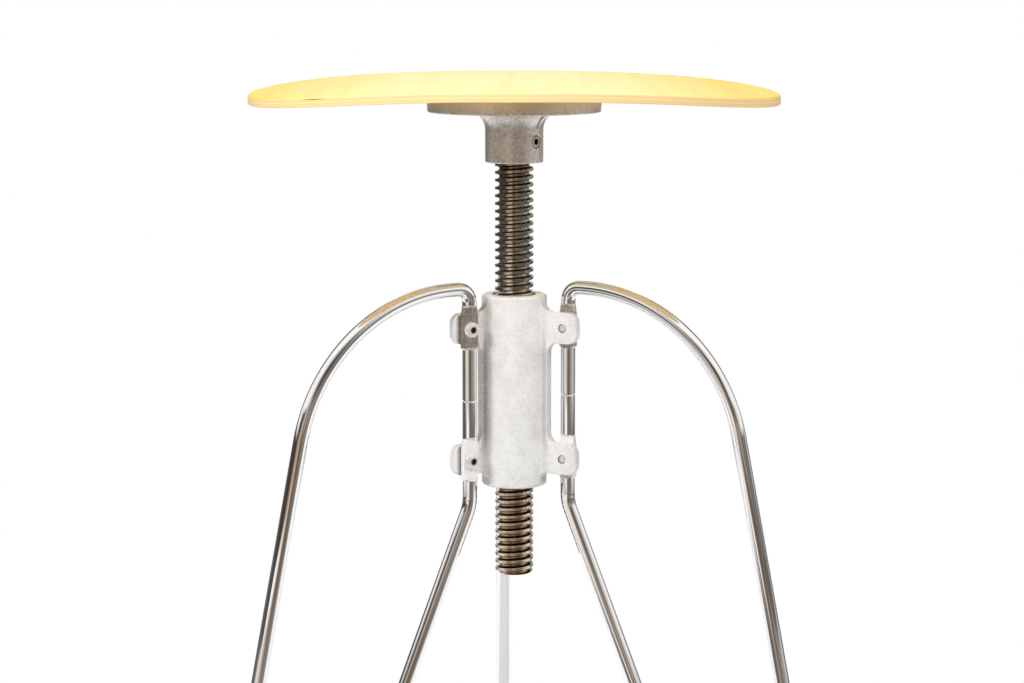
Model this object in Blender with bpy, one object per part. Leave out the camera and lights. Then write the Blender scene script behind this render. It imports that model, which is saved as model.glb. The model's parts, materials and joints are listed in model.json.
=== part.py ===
"""Height-adjustable screw stool.

A round moulded-plywood seat sits on a cast flange. The flange is fixed to a coarse right-hand
spindle, which screws through a cast hub. Three loops of bent steel rod are the legs: each is
pressed flat where it is screwed to an upper and a lower lug of the hub, and each stands on a
glide clipped round its foot bend. Turning the seat raises or lowers it by one pitch a turn.

Metres, +Z up, floor at Z = 0. The origin is on the floor, under the middle of the part's box.
"""

import math

import bmesh
import bpy
from mathutils import Matrix, Vector

# Fits
FIT_GAP = 0.0003            # between pieces that are screwed, pressed or clipped together
RUNNING_GAP = 0.0004        # radial, between the spindle's crests and the hub's bore

# Seat
SEAT_RADIUS = 0.1725
SEAT_THICKNESS = 0.0060
SEAT_TOP_ROUND = 0.0015
SEAT_UNDER_ROUND = 0.0008
SEAT_FLAT = 0.0500          # half width of the flat middle
SEAT_BEND = 0.0600          # width of the bend between the middle and each wing
SEAT_LEAN = math.radians(3.8)    # slope of the left and right wings, level with the axis
SEAT_FADE = 0.3100          # how far behind the axis the wings would be flat

# Seat flange
FLANGE_RADIUS = 0.0572
FLANGE_RIM = 0.0114
FLANGE_HEIGHT = 0.0469
FLANGE_FILLET = 0.0155
FLANGE_DRAFT = 0.0006       # how far the rim narrows downwards
FLANGE_ROUND = 0.0014
FLANGE_EDGE = 0.0010
BOSS_RADIUS = 0.0190

# Seat screws, countersunk under the flange
SEAT_SCREW_COUNT = 4
SEAT_SCREW_CIRCLE = 0.0420
SEAT_SCREW_FIRST = math.radians(45)
SEAT_SCREW_HEAD = 0.0042
SEAT_SCREW_SHANK = 0.0021
SEAT_SCREW_CONE = 0.0026
SEAT_SCREW_BITE = 0.0040    # length held in the seat
SEAT_SCREW_POINT = 0.0016

# Set screw in the side of the boss
SET_SCREW_RADIUS = 0.0040
SET_SCREW_RISE = 0.0140     # above the boss's lower face
SET_SCREW_AZIMUTH = math.radians(-40)
SET_SCREW_RECESS = 0.0006
SET_SCREW_SOCKET = 0.0040   # across flats
SET_SCREW_SOCKET_DEPTH = 0.0030

# Spindle
SPINDLE_RADIUS = 0.0127
SPINDLE_PITCH = 0.00508
THREAD_DEPTH = 0.0027
THREAD_CREST = 0.0021       # width of the crest along the axis
THREAD_FLANK = 0.0007       # axial run of one flank
SPINDLE_SHOWN = 0.0864      # between the hub and the boss, at the stored seat height
SPINDLE_TAIL = 0.0600       # below the hub, at the stored seat height
SPINDLE_GRIP = 0.0300       # held in the boss
SPINDLE_CHAMFER = 0.0014
PAD_RADIUS = 0.0100
PAD_THICKNESS = 0.0020
PAD_EDGE = 0.0004

# Hub casting
HUB_BASE_Z = 0.4535
HUB_HEIGHT = 0.1270
HUB_RADIUS = 0.0215
HUB_EDGE = 0.0020
HUB_MOUTH_RADIUS = 0.0140   # open mouth round the spindle at each end
HUB_MOUTH_DEPTH = 0.0060
HUB_THREAD = 0.0300         # threaded length, below the upper mouth
HUB_RELIEF = 0.0100         # undercut where the tap runs out, above the plain lower bore
LUG_REACH = 0.0372          # from the axis to the screws and to the upright run of each loop
LUG_HALF = 0.0102           # from a lug's screw to its top, its underside and its end
LUG_CORNER = 0.0066
LUG_THICKNESS = 0.0062
LUG_TOP_FILLET = 0.0085     # upper lug to the hub
LUG_FOOT_FILLET = 0.0040    # lower lug to the hub
RIB_FILLET = 0.0065
UPPER_LUG_DROP = 0.0205     # screw centre below the hub's top
LOWER_LUG_RISE = 0.0198     # screw centre above the hub's base
RIB_REACH = 0.0264          # rib between a leg's two lugs

# Leg loops
LEGS = {"rear": math.radians(90), "left": math.radians(210), "right": math.radians(330)}
ROD_RADIUS = 0.00476
ARCH_RISE = 0.0062          # rod's middle line at the top of the arch, above the hub's top
ARCH_RADIUS = 0.1123
ARCH_LEVEL = 0.0038         # level rod between the top bend and the arch
TOP_BEND_RADIUS = 0.0090
LOWER_BEND_RADIUS = 0.0300
LOWER_BEND_DROP = 0.0234    # start of the bend below the lower lug's screw
FOOT_REACH = 0.2363         # middle of the foot bend, from the axis
FOOT_BEND_RADIUS = 0.0200
FLAT_THICKNESS = 0.0044
FLAT_WIDTH = 0.0120
FLAT_ABOVE = 0.0148         # pressed length above and below each screw
FLAT_BELOW = 0.0120
FLAT_SHOULDER = 0.0012
BUTT_DROP = 0.0024          # the rod's joint below the middle between the lugs
BUTT_GAP = 0.0004           # between the rod's two ends

# Leg screws, button heads with a hex socket
LEG_SCREW_RADIUS = 0.0025
LEG_SCREW_RECESS = 0.0008   # the screw's end inside the lug's far face
LEG_SCREW_HEAD = 0.00525
LEG_SCREW_HEAD_HEIGHT = 0.0033
LEG_SCREW_CROWN = 0.0030    # radius of the level top round the socket
LEG_SCREW_RIM = 0.0007      # upright edge below the dome
LEG_SCREW_SOCKET = 0.0040   # across flats
LEG_SCREW_SOCKET_DEPTH = 0.0020

# Foot glides
GLIDE_SOLE = 0.0040         # plastic under the rod
GLIDE_WALL = 0.0022
GLIDE_PAD_RADIUS = 0.0085
GLIDE_HALF_ANGLE = math.radians(35)
GLIDE_MOUTH = math.radians(100)    # opening of the clip, towards the inside of the bend

# Facets
ROUND_SIDES = 28
SEAT_SIDES = 44
SMALL_SIDES = 12
ROD_SIDES = 10
THREAD_SIDES = 11
ARC_STEPS = 4
SEAT_BEND_STEPS = 2
BEND_STEP = math.radians(14)

# Heights that follow from the sizes above
HUB_TOP_Z = HUB_BASE_Z + HUB_HEIGHT
UPPER_LUG_Z = HUB_TOP_Z - UPPER_LUG_DROP
LOWER_LUG_Z = HUB_BASE_Z + LOWER_LUG_RISE
BOSS_BASE_Z = HUB_TOP_Z + SPINDLE_SHOWN
FLANGE_TOP_Z = BOSS_BASE_Z + FLANGE_HEIGHT
FLANGE_RIM_Z = FLANGE_TOP_Z - FLANGE_RIM
SEAT_BASE_Z = FLANGE_TOP_Z + FIT_GAP
SEAT_TOP_Z = SEAT_BASE_Z + SEAT_THICKNESS
SPINDLE_BASE_Z = HUB_BASE_Z - SPINDLE_TAIL
SPINDLE_TOP_Z = BOSS_BASE_Z + SPINDLE_GRIP
PAD_BASE_Z = SPINDLE_TOP_Z + FIT_GAP
BOSS_BORE_TOP_Z = PAD_BASE_Z + PAD_THICKNESS + FIT_GAP
FOOT_Z = GLIDE_SOLE + ROD_RADIUS + FOOT_BEND_RADIUS

# Each loop lies beside its lugs, on their anticlockwise side seen from above
LOOP_OFFSET = LUG_THICKNESS / 2 + FIT_GAP + FLAT_THICKNESS / 2


def arc(centre, radius, start, end, steps=ARC_STEPS):
    """Points on an arc in a flat profile, from one angle to another, both ends included."""
    points = []
    for step in range(steps + 1):
        angle = start + (end - start) * step / steps
        points.append((centre[0] + radius * math.cos(angle), centre[1] + radius * math.sin(angle)))
    return points


def finish_mesh(bm, name):
    """Weld, point the faces outwards, shade round faces smooth and return the mesh."""
    bmesh.ops.remove_doubles(bm, verts=bm.verts, dist=1e-6)
    bmesh.ops.recalc_face_normals(bm, faces=bm.faces)
    mesh = bpy.data.meshes.new(name)
    bm.to_mesh(mesh)
    bm.free()
    mesh.shade_smooth()
    mesh.set_sharp_from_angle(angle=math.radians(35))
    return mesh


def turned(profile, sides, name):
    """Solid of revolution about Z. An open profile starts and ends on the axis."""
    bm = bmesh.new()
    verts = [bm.verts.new((radius, 0, height)) for radius, height in profile]
    pairs = list(zip(verts, verts[1:]))
    if profile[0][0] > 0:
        pairs.append((verts[-1], verts[0]))
    edges = [bm.edges.new(pair) for pair in pairs]
    bmesh.ops.spin(bm, geom=verts + edges, cent=(0, 0, 0), axis=(0, 0, 1),
                   angle=math.tau, steps=sides, use_merge=True)
    return finish_mesh(bm, name)


def plate(outline, thickness, name):
    """Flat plate in the XZ plane, centred on Y = 0."""
    bm = bmesh.new()
    face = bm.faces.new([bm.verts.new((x, -thickness / 2, z)) for x, z in outline])
    grown = bmesh.ops.extrude_face_region(bm, geom=[face])
    moved = [item for item in grown["geom"] if isinstance(item, bmesh.types.BMVert)]
    bmesh.ops.translate(bm, vec=(0, thickness, 0), verts=moved)
    return finish_mesh(bm, name)


def combined(mesh, other, operation):
    """Mesh after a Boolean with another mesh. Both are used up."""
    name = mesh.name
    body = bpy.data.objects.new("body", mesh)
    tool = bpy.data.objects.new("tool", other)
    tool.hide_render = True
    tool.display_type = 'WIRE'
    for item in (body, tool):
        bpy.context.collection.objects.link(item)
    modifier = body.modifiers.new("combine", 'BOOLEAN')
    modifier.operation = operation
    modifier.solver = 'EXACT'
    modifier.object = tool
    result = bpy.data.meshes.new_from_object(body.evaluated_get(bpy.context.evaluated_depsgraph_get()))
    for item in (body, tool):
        bpy.data.objects.remove(item)
    for used in (mesh, other):
        bpy.data.meshes.remove(used)
    result.name = name
    return result


def placed(mesh, matrix):
    """The mesh, moved in its own coordinates."""
    mesh.transform(matrix)
    return mesh


def round_bar(radius, low, high, sides, name="bar"):
    """Plain cylinder about Z."""
    return turned([(0, high), (radius, high), (radius, low), (0, low)], sides, name)


def hex_bar(across_flats, low, high):
    """Hexagonal prism about Z, for cutting sockets."""
    return round_bar(across_flats / math.sqrt(3), low, high, 6, "hex_bar")


def seat_sag(x, y):
    """Drop of the moulded sheet: flat in the middle, bent to a wing on each side, most at the front."""
    past = max(0.0, abs(x) - SEAT_FLAT)
    slope = math.tan(SEAT_LEAN) * (1 - y / SEAT_FADE)
    if past < SEAT_BEND:
        return slope * past ** 2 / (2 * SEAT_BEND)
    return slope * (past - SEAT_BEND / 2)


def bent(mesh):
    """The seat's disc, cut along its bends and across, and dropped to the left and right."""
    bm = bmesh.new()
    bm.from_mesh(mesh)
    bmesh.ops.dissolve_limit(bm, angle_limit=math.radians(1), verts=bm.verts[:], edges=bm.edges[:])
    lines = [SEAT_FLAT + SEAT_BEND * step / SEAT_BEND_STEPS for step in range(SEAT_BEND_STEPS + 1)]
    lines.append((lines[-1] + SEAT_RADIUS) / 2)
    planes = [((side * x, 0, 0), (1, 0, 0)) for x in lines for side in (-1, 1)]
    for point, normal in planes + [((0, 0, 0), (0, 1, 0))]:
        bmesh.ops.bisect_plane(bm, geom=bm.verts[:] + bm.edges[:] + bm.faces[:], dist=1e-6,
                               plane_co=point, plane_no=normal)
    for vert in bm.verts:
        vert.co.z -= seat_sag(vert.co.x, vert.co.y)
    bm.to_mesh(mesh)
    bm.free()
    return mesh


def make_seat():
    """Moulded plywood disc with rounded edges, bent to a flat middle and two wings."""
    top, base = SEAT_TOP_ROUND, SEAT_UNDER_ROUND
    profile = [(0, SEAT_TOP_Z)]
    profile += arc((SEAT_RADIUS - top, SEAT_TOP_Z - top), top, math.pi / 2, 0, 3)
    profile += arc((SEAT_RADIUS - base, SEAT_BASE_Z + base), base, 0, -math.pi / 2, 2)
    profile += [(0, SEAT_BASE_Z)]
    mesh = bent(turned(profile, SEAT_SIDES, "seat"))
    for spot in seat_screw_spots():
        pilot = round_bar(SEAT_SCREW_SHANK + FIT_GAP, FLANGE_RIM_Z, seat_screw_tip() + FIT_GAP, SMALL_SIDES)
        mesh = combined(mesh, placed(pilot, spot), 'DIFFERENCE')
    return mesh


def seat_screw_spots():
    """Where the seat screws stand round the axis."""
    turns = [SEAT_SCREW_FIRST + math.tau * i / SEAT_SCREW_COUNT for i in range(SEAT_SCREW_COUNT)]
    return [Matrix.Rotation(turn, 4, 'Z') @ Matrix.Translation((SEAT_SCREW_CIRCLE, 0, 0)) for turn in turns]


def seat_screw_tip():
    """Height of a seat screw's point."""
    return SEAT_BASE_Z + SEAT_SCREW_BITE


def make_seat_screw():
    """Countersunk wood screw, head down, flush with the flange's underside."""
    tip = seat_screw_tip()
    return turned([(0, tip), (SEAT_SCREW_SHANK, tip - SEAT_SCREW_POINT),
                   (SEAT_SCREW_SHANK, FLANGE_RIM_Z + SEAT_SCREW_CONE),
                   (SEAT_SCREW_HEAD, FLANGE_RIM_Z), (0, FLANGE_RIM_Z)], SMALL_SIDES, "seat_screw")


def make_flange():
    """Cast disc, filleted into a boss with a blind bore for the spindle."""
    rim, base = FLANGE_RIM_Z, BOSS_BASE_Z
    bore = SPINDLE_RADIUS + FIT_GAP
    edge = FLANGE_EDGE
    lip = FLANGE_RADIUS - FLANGE_DRAFT - FLANGE_ROUND
    profile = [(0, FLANGE_TOP_Z), (FLANGE_RADIUS - edge, FLANGE_TOP_Z), (FLANGE_RADIUS, FLANGE_TOP_Z - edge)]
    profile += arc((lip, rim + FLANGE_ROUND), FLANGE_ROUND, 0, -math.pi / 2, 2)
    corner = (BOSS_RADIUS + FLANGE_FILLET, rim - FLANGE_FILLET)
    profile += arc(corner, FLANGE_FILLET, math.pi / 2, math.pi)
    profile += [(BOSS_RADIUS, base + edge), (BOSS_RADIUS - edge, base), (bore, base)]
    profile += [(bore, BOSS_BORE_TOP_Z), (0, BOSS_BORE_TOP_Z)]
    mesh = turned(profile, ROUND_SIDES, "seat_flange")
    for spot in seat_screw_spots():
        shank = SEAT_SCREW_SHANK + FIT_GAP
        head = SEAT_SCREW_HEAD + FIT_GAP
        sink = turned([(0, FLANGE_TOP_Z + edge), (shank, FLANGE_TOP_Z + edge), (shank, rim + SEAT_SCREW_CONE),
                       (head, rim), (head, rim - edge), (0, rim - edge)], SMALL_SIDES, "sink")
        mesh = combined(mesh, placed(sink, spot), 'DIFFERENCE')
    tapped = round_bar(SET_SCREW_RADIUS + FIT_GAP, 0, BOSS_RADIUS + edge, SMALL_SIDES)
    return combined(mesh, placed(tapped, set_screw_spot()), 'DIFFERENCE')


def set_screw_spot():
    """Turns a piece made about Z to point out of the boss through the set screw's hole."""
    lift = Matrix.Translation((0, 0, BOSS_BASE_Z + SET_SCREW_RISE))
    return lift @ Matrix.Rotation(SET_SCREW_AZIMUTH, 4, 'Z') @ Matrix.Rotation(math.pi / 2, 4, 'Y')


def make_set_screw():
    """Headless screw with a hex socket, its tip against the spindle's crests."""
    tip = SPINDLE_RADIUS + FIT_GAP
    end = BOSS_RADIUS - SET_SCREW_RECESS
    body = round_bar(SET_SCREW_RADIUS, tip, end, SMALL_SIDES, "set_screw")
    socket = hex_bar(SET_SCREW_SOCKET, end - SET_SCREW_SOCKET_DEPTH, end + SET_SCREW_RECESS)
    return placed(combined(body, socket, 'DIFFERENCE'), set_screw_spot())


def thread(crest_radius, root_radius, growth, low, high, name):
    """Right-hand trapezoidal screw: one zigzag profile spun along the helix, then cut to length.

    A crest starts at the hub's top on +X, so that the spindle and the hub's tap match. The growth
    widens the crests on both sides along the axis.
    """
    first = math.floor((low - HUB_TOP_Z) / SPINDLE_PITCH) - 2
    last = math.ceil((high - HUB_TOP_Z) / SPINDLE_PITCH) + 1
    bm = bmesh.new()
    verts = []
    for turn in range(first, last):
        z = HUB_TOP_Z + turn * SPINDLE_PITCH
        for radius, rise in ((crest_radius, -growth), (crest_radius, THREAD_CREST + growth),
                             (root_radius, THREAD_CREST + THREAD_FLANK + growth),
                             (root_radius, SPINDLE_PITCH - THREAD_FLANK - growth)):
            verts.append(bm.verts.new((radius, 0, z + rise)))
    edges = [bm.edges.new(pair) for pair in zip(verts, verts[1:])]
    bmesh.ops.spin(bm, geom=verts + edges, cent=(0, 0, 0), axis=(0, 0, 1), angle=math.tau,
                   dvec=(0, 0, SPINDLE_PITCH / THREAD_SIDES), steps=THREAD_SIDES)
    bmesh.ops.remove_doubles(bm, verts=bm.verts, dist=1e-5)
    for height, outward in ((low, -1), (high, 1)):
        cut = bmesh.ops.bisect_plane(bm, geom=bm.verts[:] + bm.edges[:] + bm.faces[:],
                                     plane_co=(0, 0, height), plane_no=(0, 0, outward), clear_outer=True)
        rim = [item for item in cut["geom_cut"] if isinstance(item, bmesh.types.BMEdge)]
        bmesh.ops.contextual_create(bm, geom=rim)
    return finish_mesh(bm, name)


def make_spindle():
    """Lead screw with both ends chamfered."""
    low, high = SPINDLE_BASE_Z, SPINDLE_TOP_Z
    mesh = thread(SPINDLE_RADIUS, SPINDLE_RADIUS - THREAD_DEPTH, 0, low, high, "spindle")
    outside = SPINDLE_RADIUS + SPINDLE_CHAMFER
    ends = SPINDLE_RADIUS - SPINDLE_CHAMFER
    envelope = turned([(0, high), (ends, high), (outside, high - 2 * SPINDLE_CHAMFER),
                       (outside, low + 2 * SPINDLE_CHAMFER), (ends, low), (0, low)], ROUND_SIDES, "envelope")
    return combined(mesh, envelope, 'INTERSECT')


def make_pad():
    """Thin disc between the spindle's end and the bottom of the boss's bore."""
    low, high = PAD_BASE_Z, PAD_BASE_Z + PAD_THICKNESS
    inner = PAD_RADIUS - PAD_EDGE
    return turned([(0, high), (inner, high), (PAD_RADIUS, high - PAD_EDGE), (PAD_RADIUS, low + PAD_EDGE),
                   (inner, low), (0, low)], SMALL_SIDES, "spindle_pad")


def lug_end(height):
    """Free end of a lug, from its top to its underside: two rounded corners."""
    x = LUG_REACH + LUG_HALF - LUG_CORNER
    rise = LUG_HALF - LUG_CORNER
    corner = arc((x, height + rise), LUG_CORNER, math.pi / 2, 0, 3)
    return corner + arc((x, height - rise), LUG_CORNER, 0, -math.pi / 2, 3)


def lug_plate_outline():
    """Rib with a rounded lug at its upper and lower end, in the plane of radius and height."""
    quarter = math.pi / 2
    inside = (SPINDLE_RADIUS + HUB_RADIUS) / 2
    top, foot, rib = LUG_TOP_FILLET, LUG_FOOT_FILLET, RIB_FILLET
    high = UPPER_LUG_Z + LUG_HALF + top
    low = LOWER_LUG_Z - LUG_HALF - foot
    outline = [(inside, high)]
    outline += arc((HUB_RADIUS + top, high), top, 2 * quarter, 3 * quarter)
    outline += lug_end(UPPER_LUG_Z)
    outline += arc((RIB_REACH + rib, UPPER_LUG_Z - LUG_HALF - rib), rib, quarter, 2 * quarter)
    outline += arc((RIB_REACH + rib, LOWER_LUG_Z + LUG_HALF + rib), rib, 2 * quarter, 3 * quarter)
    outline += lug_end(LOWER_LUG_Z)
    outline += arc((HUB_RADIUS + foot, low), foot, quarter, 2 * quarter)
    return outline + [(inside, low)]


def make_hub_tap():
    """Cutter for the hub's thread: the spindle, grown by its running gap and cleared for its facets."""
    clear = 1 / math.cos(math.pi / THREAD_SIDES)
    crest = (SPINDLE_RADIUS + RUNNING_GAP) * clear
    root = (SPINDLE_RADIUS - THREAD_DEPTH + RUNNING_GAP) * clear
    high = HUB_TOP_Z - HUB_MOUTH_DEPTH
    low = high - HUB_THREAD - HUB_RELIEF / 2
    return thread(crest, root, RUNNING_GAP / 2, low, high + HUB_MOUTH_DEPTH / 2, "tap")


def make_hub():
    """Cast sleeve, tapped for the spindle, with three ribs that each carry two drilled lugs."""
    bore = SPINDLE_RADIUS + RUNNING_GAP
    core = SPINDLE_RADIUS - THREAD_DEPTH
    low, high, edge = HUB_BASE_Z, HUB_TOP_Z, HUB_EDGE
    mouth = HUB_MOUTH_RADIUS
    thread_high = high - HUB_MOUTH_DEPTH
    thread_low = thread_high - HUB_THREAD
    guide_high = thread_low - HUB_RELIEF
    profile = [(mouth, high)]
    profile += arc((HUB_RADIUS - edge, high - edge), edge, math.pi / 2, 0, 3)
    profile += arc((HUB_RADIUS - edge, low + edge), edge, 0, -math.pi / 2, 3)
    profile += [(mouth, low), (mouth, low + HUB_MOUTH_DEPTH), (bore, low + HUB_MOUTH_DEPTH)]
    profile += [(bore, guide_high), (mouth, guide_high), (mouth, thread_low), (core, thread_low)]
    profile += [(core, thread_high), (mouth, thread_high)]
    mesh = combined(turned(profile, ROUND_SIDES, "hub"), make_hub_tap(), 'DIFFERENCE')
    for azimuth in LEGS.values():
        turn = Matrix.Rotation(azimuth, 4, 'Z')
        lugs = plate(lug_plate_outline(), LUG_THICKNESS, "lugs")
        for height in (UPPER_LUG_Z, LOWER_LUG_Z):
            drill = round_bar(LEG_SCREW_RADIUS + FIT_GAP, -LUG_THICKNESS, LUG_THICKNESS, SMALL_SIDES)
            lugs = combined(lugs, placed(drill, leg_screw_spot(height, 0)), 'DIFFERENCE')
        mesh = combined(mesh, placed(lugs, turn), 'UNION')
    return mesh


def leg_screw_spot(height, depth):
    """Turns a piece made about Z to point along Y, through the lug of the leg on +X."""
    return Matrix.Translation((LUG_REACH, depth, height)) @ Matrix.Rotation(-math.pi / 2, 4, 'X')


def loop_lines():
    """The loop as a belt: each bend's centre, radius, and the headings it joins.

    Headings are angles from +Z towards +X. The path climbs the upright run beside the hub, turns
    outwards over the arch, goes down to the foot and comes back up to the lower lug.
    """
    arch_z = HUB_TOP_Z + ARCH_RISE
    discs = [
        (Vector((LUG_REACH + TOP_BEND_RADIUS, arch_z - TOP_BEND_RADIUS)), TOP_BEND_RADIUS),
        (Vector((LUG_REACH + TOP_BEND_RADIUS + ARCH_LEVEL, arch_z - ARCH_RADIUS)), ARCH_RADIUS),
        (Vector((FOOT_REACH, FOOT_Z)), FOOT_BEND_RADIUS),
        (Vector((LUG_REACH + LOWER_BEND_RADIUS, LOWER_LUG_Z - LOWER_BEND_DROP)), LOWER_BEND_RADIUS),
    ]
    headings = []
    for (centre, radius), (following, next_radius) in zip(discs, discs[1:] + discs[:1]):
        gap = following - centre
        lean = math.asin((next_radius - radius) / gap.length)
        headings.append(math.atan2(gap.x, gap.y) - lean)
    return [(centre, radius, headings[i - 1], headings[i]) for i, (centre, radius) in enumerate(discs)]


def ring_centre(edges):
    """Middle of a ring of edges."""
    verts = {vert for edge in edges for vert in edge.verts}
    return sum((vert.co for vert in verts), Vector()) / len(verts)


def extend_rod(bm, edges, target):
    """Pull the rod's open end straight to a target point. Returns the new end."""
    offset = target - ring_centre(edges)
    grown = bmesh.ops.extrude_edge_only(bm, edges=edges)["geom"]
    bmesh.ops.translate(bm, vec=offset, verts=[item for item in grown if isinstance(item, bmesh.types.BMVert)])
    return [item for item in grown if isinstance(item, bmesh.types.BMEdge) and item.is_boundary]


def bend_rod(bm, edges, centre, angle):
    """Swing the rod's open end round a bend's centre. Returns the new end."""
    steps = max(2, round(angle / BEND_STEP))
    verts = list({vert for edge in edges for vert in edge.verts})
    swung = bmesh.ops.spin(bm, geom=verts + edges, cent=centre, axis=(0, 1, 0), angle=angle, steps=steps)
    return [item for item in swung["geom_last"] if isinstance(item, bmesh.types.BMEdge)]


def press_flat(edges):
    """Press a ring of the rod to the flat's thickness and width."""
    middle = ring_centre(edges)
    half = FLAT_THICKNESS / 2
    for vert in {vert for edge in edges for vert in edge.verts}:
        across = vert.co - middle
        across.x *= FLAT_WIDTH / (2 * ROD_RADIUS)
        across.y = max(-half, min(half, across.y))
        vert.co = middle + across


def run_past_lug(bm, edges, height):
    """Carry the upright run past a lug, pressed flat round the screw."""
    def at(z):
        return Vector((LUG_REACH, LOOP_OFFSET, z))
    edges = extend_rod(bm, edges, at(height - FLAT_BELOW - FLAT_SHOULDER))
    edges = extend_rod(bm, edges, at(height - FLAT_BELOW))
    upper = extend_rod(bm, edges, at(height + FLAT_ABOVE))
    end = extend_rod(bm, upper, at(height + FLAT_ABOVE + FLAT_SHOULDER))
    press_flat(edges)
    press_flat(upper)
    return end


def make_leg_loop():
    """One bent rod for the leg on +X, from its butt joint round the foot and back."""
    butt = (UPPER_LUG_Z + LOWER_LUG_Z) / 2 - BUTT_DROP
    start = Matrix.Translation((LUG_REACH, LOOP_OFFSET, butt + BUTT_GAP / 2))
    bm = bmesh.new()
    bmesh.ops.create_circle(bm, cap_ends=True, radius=ROD_RADIUS, segments=ROD_SIDES,
                            matrix=start @ Matrix.Rotation(math.pi / ROD_SIDES, 4, 'Z'))
    edges = run_past_lug(bm, bm.edges[:], UPPER_LUG_Z)
    for centre, radius, heading, leaving in loop_lines():
        left = Vector((-math.cos(heading), math.sin(heading)))
        touch = centre + left * radius
        edges = extend_rod(bm, edges, Vector((touch.x, LOOP_OFFSET, touch.y)))
        angle = (leaving - heading) % math.tau
        edges = bend_rod(bm, edges, (centre.x, LOOP_OFFSET, centre.y), angle)
    edges = run_past_lug(bm, edges, LOWER_LUG_Z)
    edges = extend_rod(bm, edges, Vector((LUG_REACH, LOOP_OFFSET, butt - BUTT_GAP / 2)))
    bmesh.ops.contextual_create(bm, geom=edges)
    mesh = finish_mesh(bm, "leg_loop")
    for height in (UPPER_LUG_Z, LOWER_LUG_Z):
        drill = round_bar(LEG_SCREW_RADIUS + FIT_GAP, -FLAT_WIDTH, FLAT_WIDTH, SMALL_SIDES)
        mesh = combined(mesh, placed(drill, leg_screw_spot(height, LOOP_OFFSET)), 'DIFFERENCE')
    return mesh


def make_leg_screw():
    """Button-head screw, its underside at Z = 0 and its end just inside the lug's far face."""
    length = FIT_GAP + FLAT_THICKNESS + FIT_GAP + LUG_THICKNESS - LEG_SCREW_RECESS
    top = LEG_SCREW_HEAD_HEIGHT
    slope = LEG_SCREW_HEAD - LEG_SCREW_CROWN
    dome = top - LEG_SCREW_RIM
    quarter = arc((0, 0), 1, math.pi / 2, 0, ARC_STEPS // 2)
    profile = [(0, top)]
    profile += [(LEG_SCREW_CROWN + slope * x, LEG_SCREW_RIM + dome * z) for x, z in quarter]
    profile += [(LEG_SCREW_HEAD, 0), (LEG_SCREW_RADIUS, 0), (LEG_SCREW_RADIUS, -length), (0, -length)]
    mesh = turned(profile, SMALL_SIDES, "leg_screw")
    socket = hex_bar(LEG_SCREW_SOCKET, top - LEG_SCREW_SOCKET_DEPTH, top + LEG_SCREW_SOCKET_DEPTH)
    return combined(mesh, socket, 'DIFFERENCE')


def make_glide():
    """Clip round the foot bend of the leg on +X, with a flat round sole."""
    facet_slack = (FOOT_BEND_RADIUS + ROD_RADIUS) * (1 - math.cos(BEND_STEP / 2))
    clear = ROD_RADIUS + FIT_GAP + facet_slack
    around = 2 * ARC_STEPS
    first = math.pi / 2 + GLIDE_MOUTH / 2
    last = math.pi * 5 / 2 - GLIDE_MOUTH / 2
    inner = clear / math.cos((last - first) / around / 2)
    section = arc((0, 0), clear + GLIDE_WALL, first, last, around) + arc((0, 0), inner, last, first, around)
    rod_z = FOOT_Z - FOOT_BEND_RADIUS
    bm = bmesh.new()
    ring = [bm.verts.new((FOOT_REACH, LOOP_OFFSET + y, rod_z + z)) for y, z in section]
    face = bm.faces.new(ring)
    centre = (FOOT_REACH, LOOP_OFFSET, FOOT_Z)
    bmesh.ops.rotate(bm, cent=centre, matrix=Matrix.Rotation(-GLIDE_HALF_ANGLE, 3, 'Y'), verts=ring)
    steps = math.ceil(2 * GLIDE_HALF_ANGLE / BEND_STEP)
    bmesh.ops.spin(bm, geom=[face], cent=centre, axis=(0, 1, 0), angle=2 * GLIDE_HALF_ANGLE, steps=steps)
    clip = finish_mesh(bm, "foot_glide")
    sole = round_bar(GLIDE_PAD_RADIUS, 0, GLIDE_SOLE - 2 * FIT_GAP, SMALL_SIDES)
    sole = placed(sole, Matrix.Translation((FOOT_REACH, LOOP_OFFSET, 0)))
    return combined(clip, sole, 'UNION')


def axis_place():
    """Where the stool's axis stands, so that the part's box is centred on the origin."""
    reach = FOOT_REACH + FOOT_BEND_RADIUS
    across = [SEAT_RADIUS, -SEAT_RADIUS]
    along = [SEAT_RADIUS, -SEAT_RADIUS]
    for azimuth in LEGS.values():
        x = reach * math.cos(azimuth) - LOOP_OFFSET * math.sin(azimuth)
        y = reach * math.sin(azimuth) + LOOP_OFFSET * math.cos(azimuth)
        across += [x - ROD_RADIUS, x + ROD_RADIUS]
        along += [y - ROD_RADIUS, y + ROD_RADIUS]
    return (-(max(across) + min(across)) / 2, -(max(along) + min(along)) / 2, 0)


def finish(name, colour, roughness, metallic):
    """Plain Principled material."""
    material = bpy.data.materials.new(name)
    material.use_nodes = True
    shader = material.node_tree.nodes["Principled BSDF"]
    shader.inputs["Base Color"].default_value = (*colour, 1)
    shader.inputs["Roughness"].default_value = roughness
    shader.inputs["Metallic"].default_value = metallic
    return material


def empty(name, parent=None, location=(0, 0, 0)):
    """Empty that carries other objects."""
    holder = bpy.data.objects.new(name, None)
    holder.parent = parent
    holder.location = location
    bpy.context.collection.objects.link(holder)
    return holder


def piece(name, mesh, material, parent, matrix=Matrix()):
    """One named object of the stool."""
    mesh.materials.clear()
    mesh.materials.append(material)
    item = bpy.data.objects.new(name, mesh)
    item.parent = parent
    item.matrix_local = matrix
    bpy.context.collection.objects.link(item)
    return item


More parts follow.
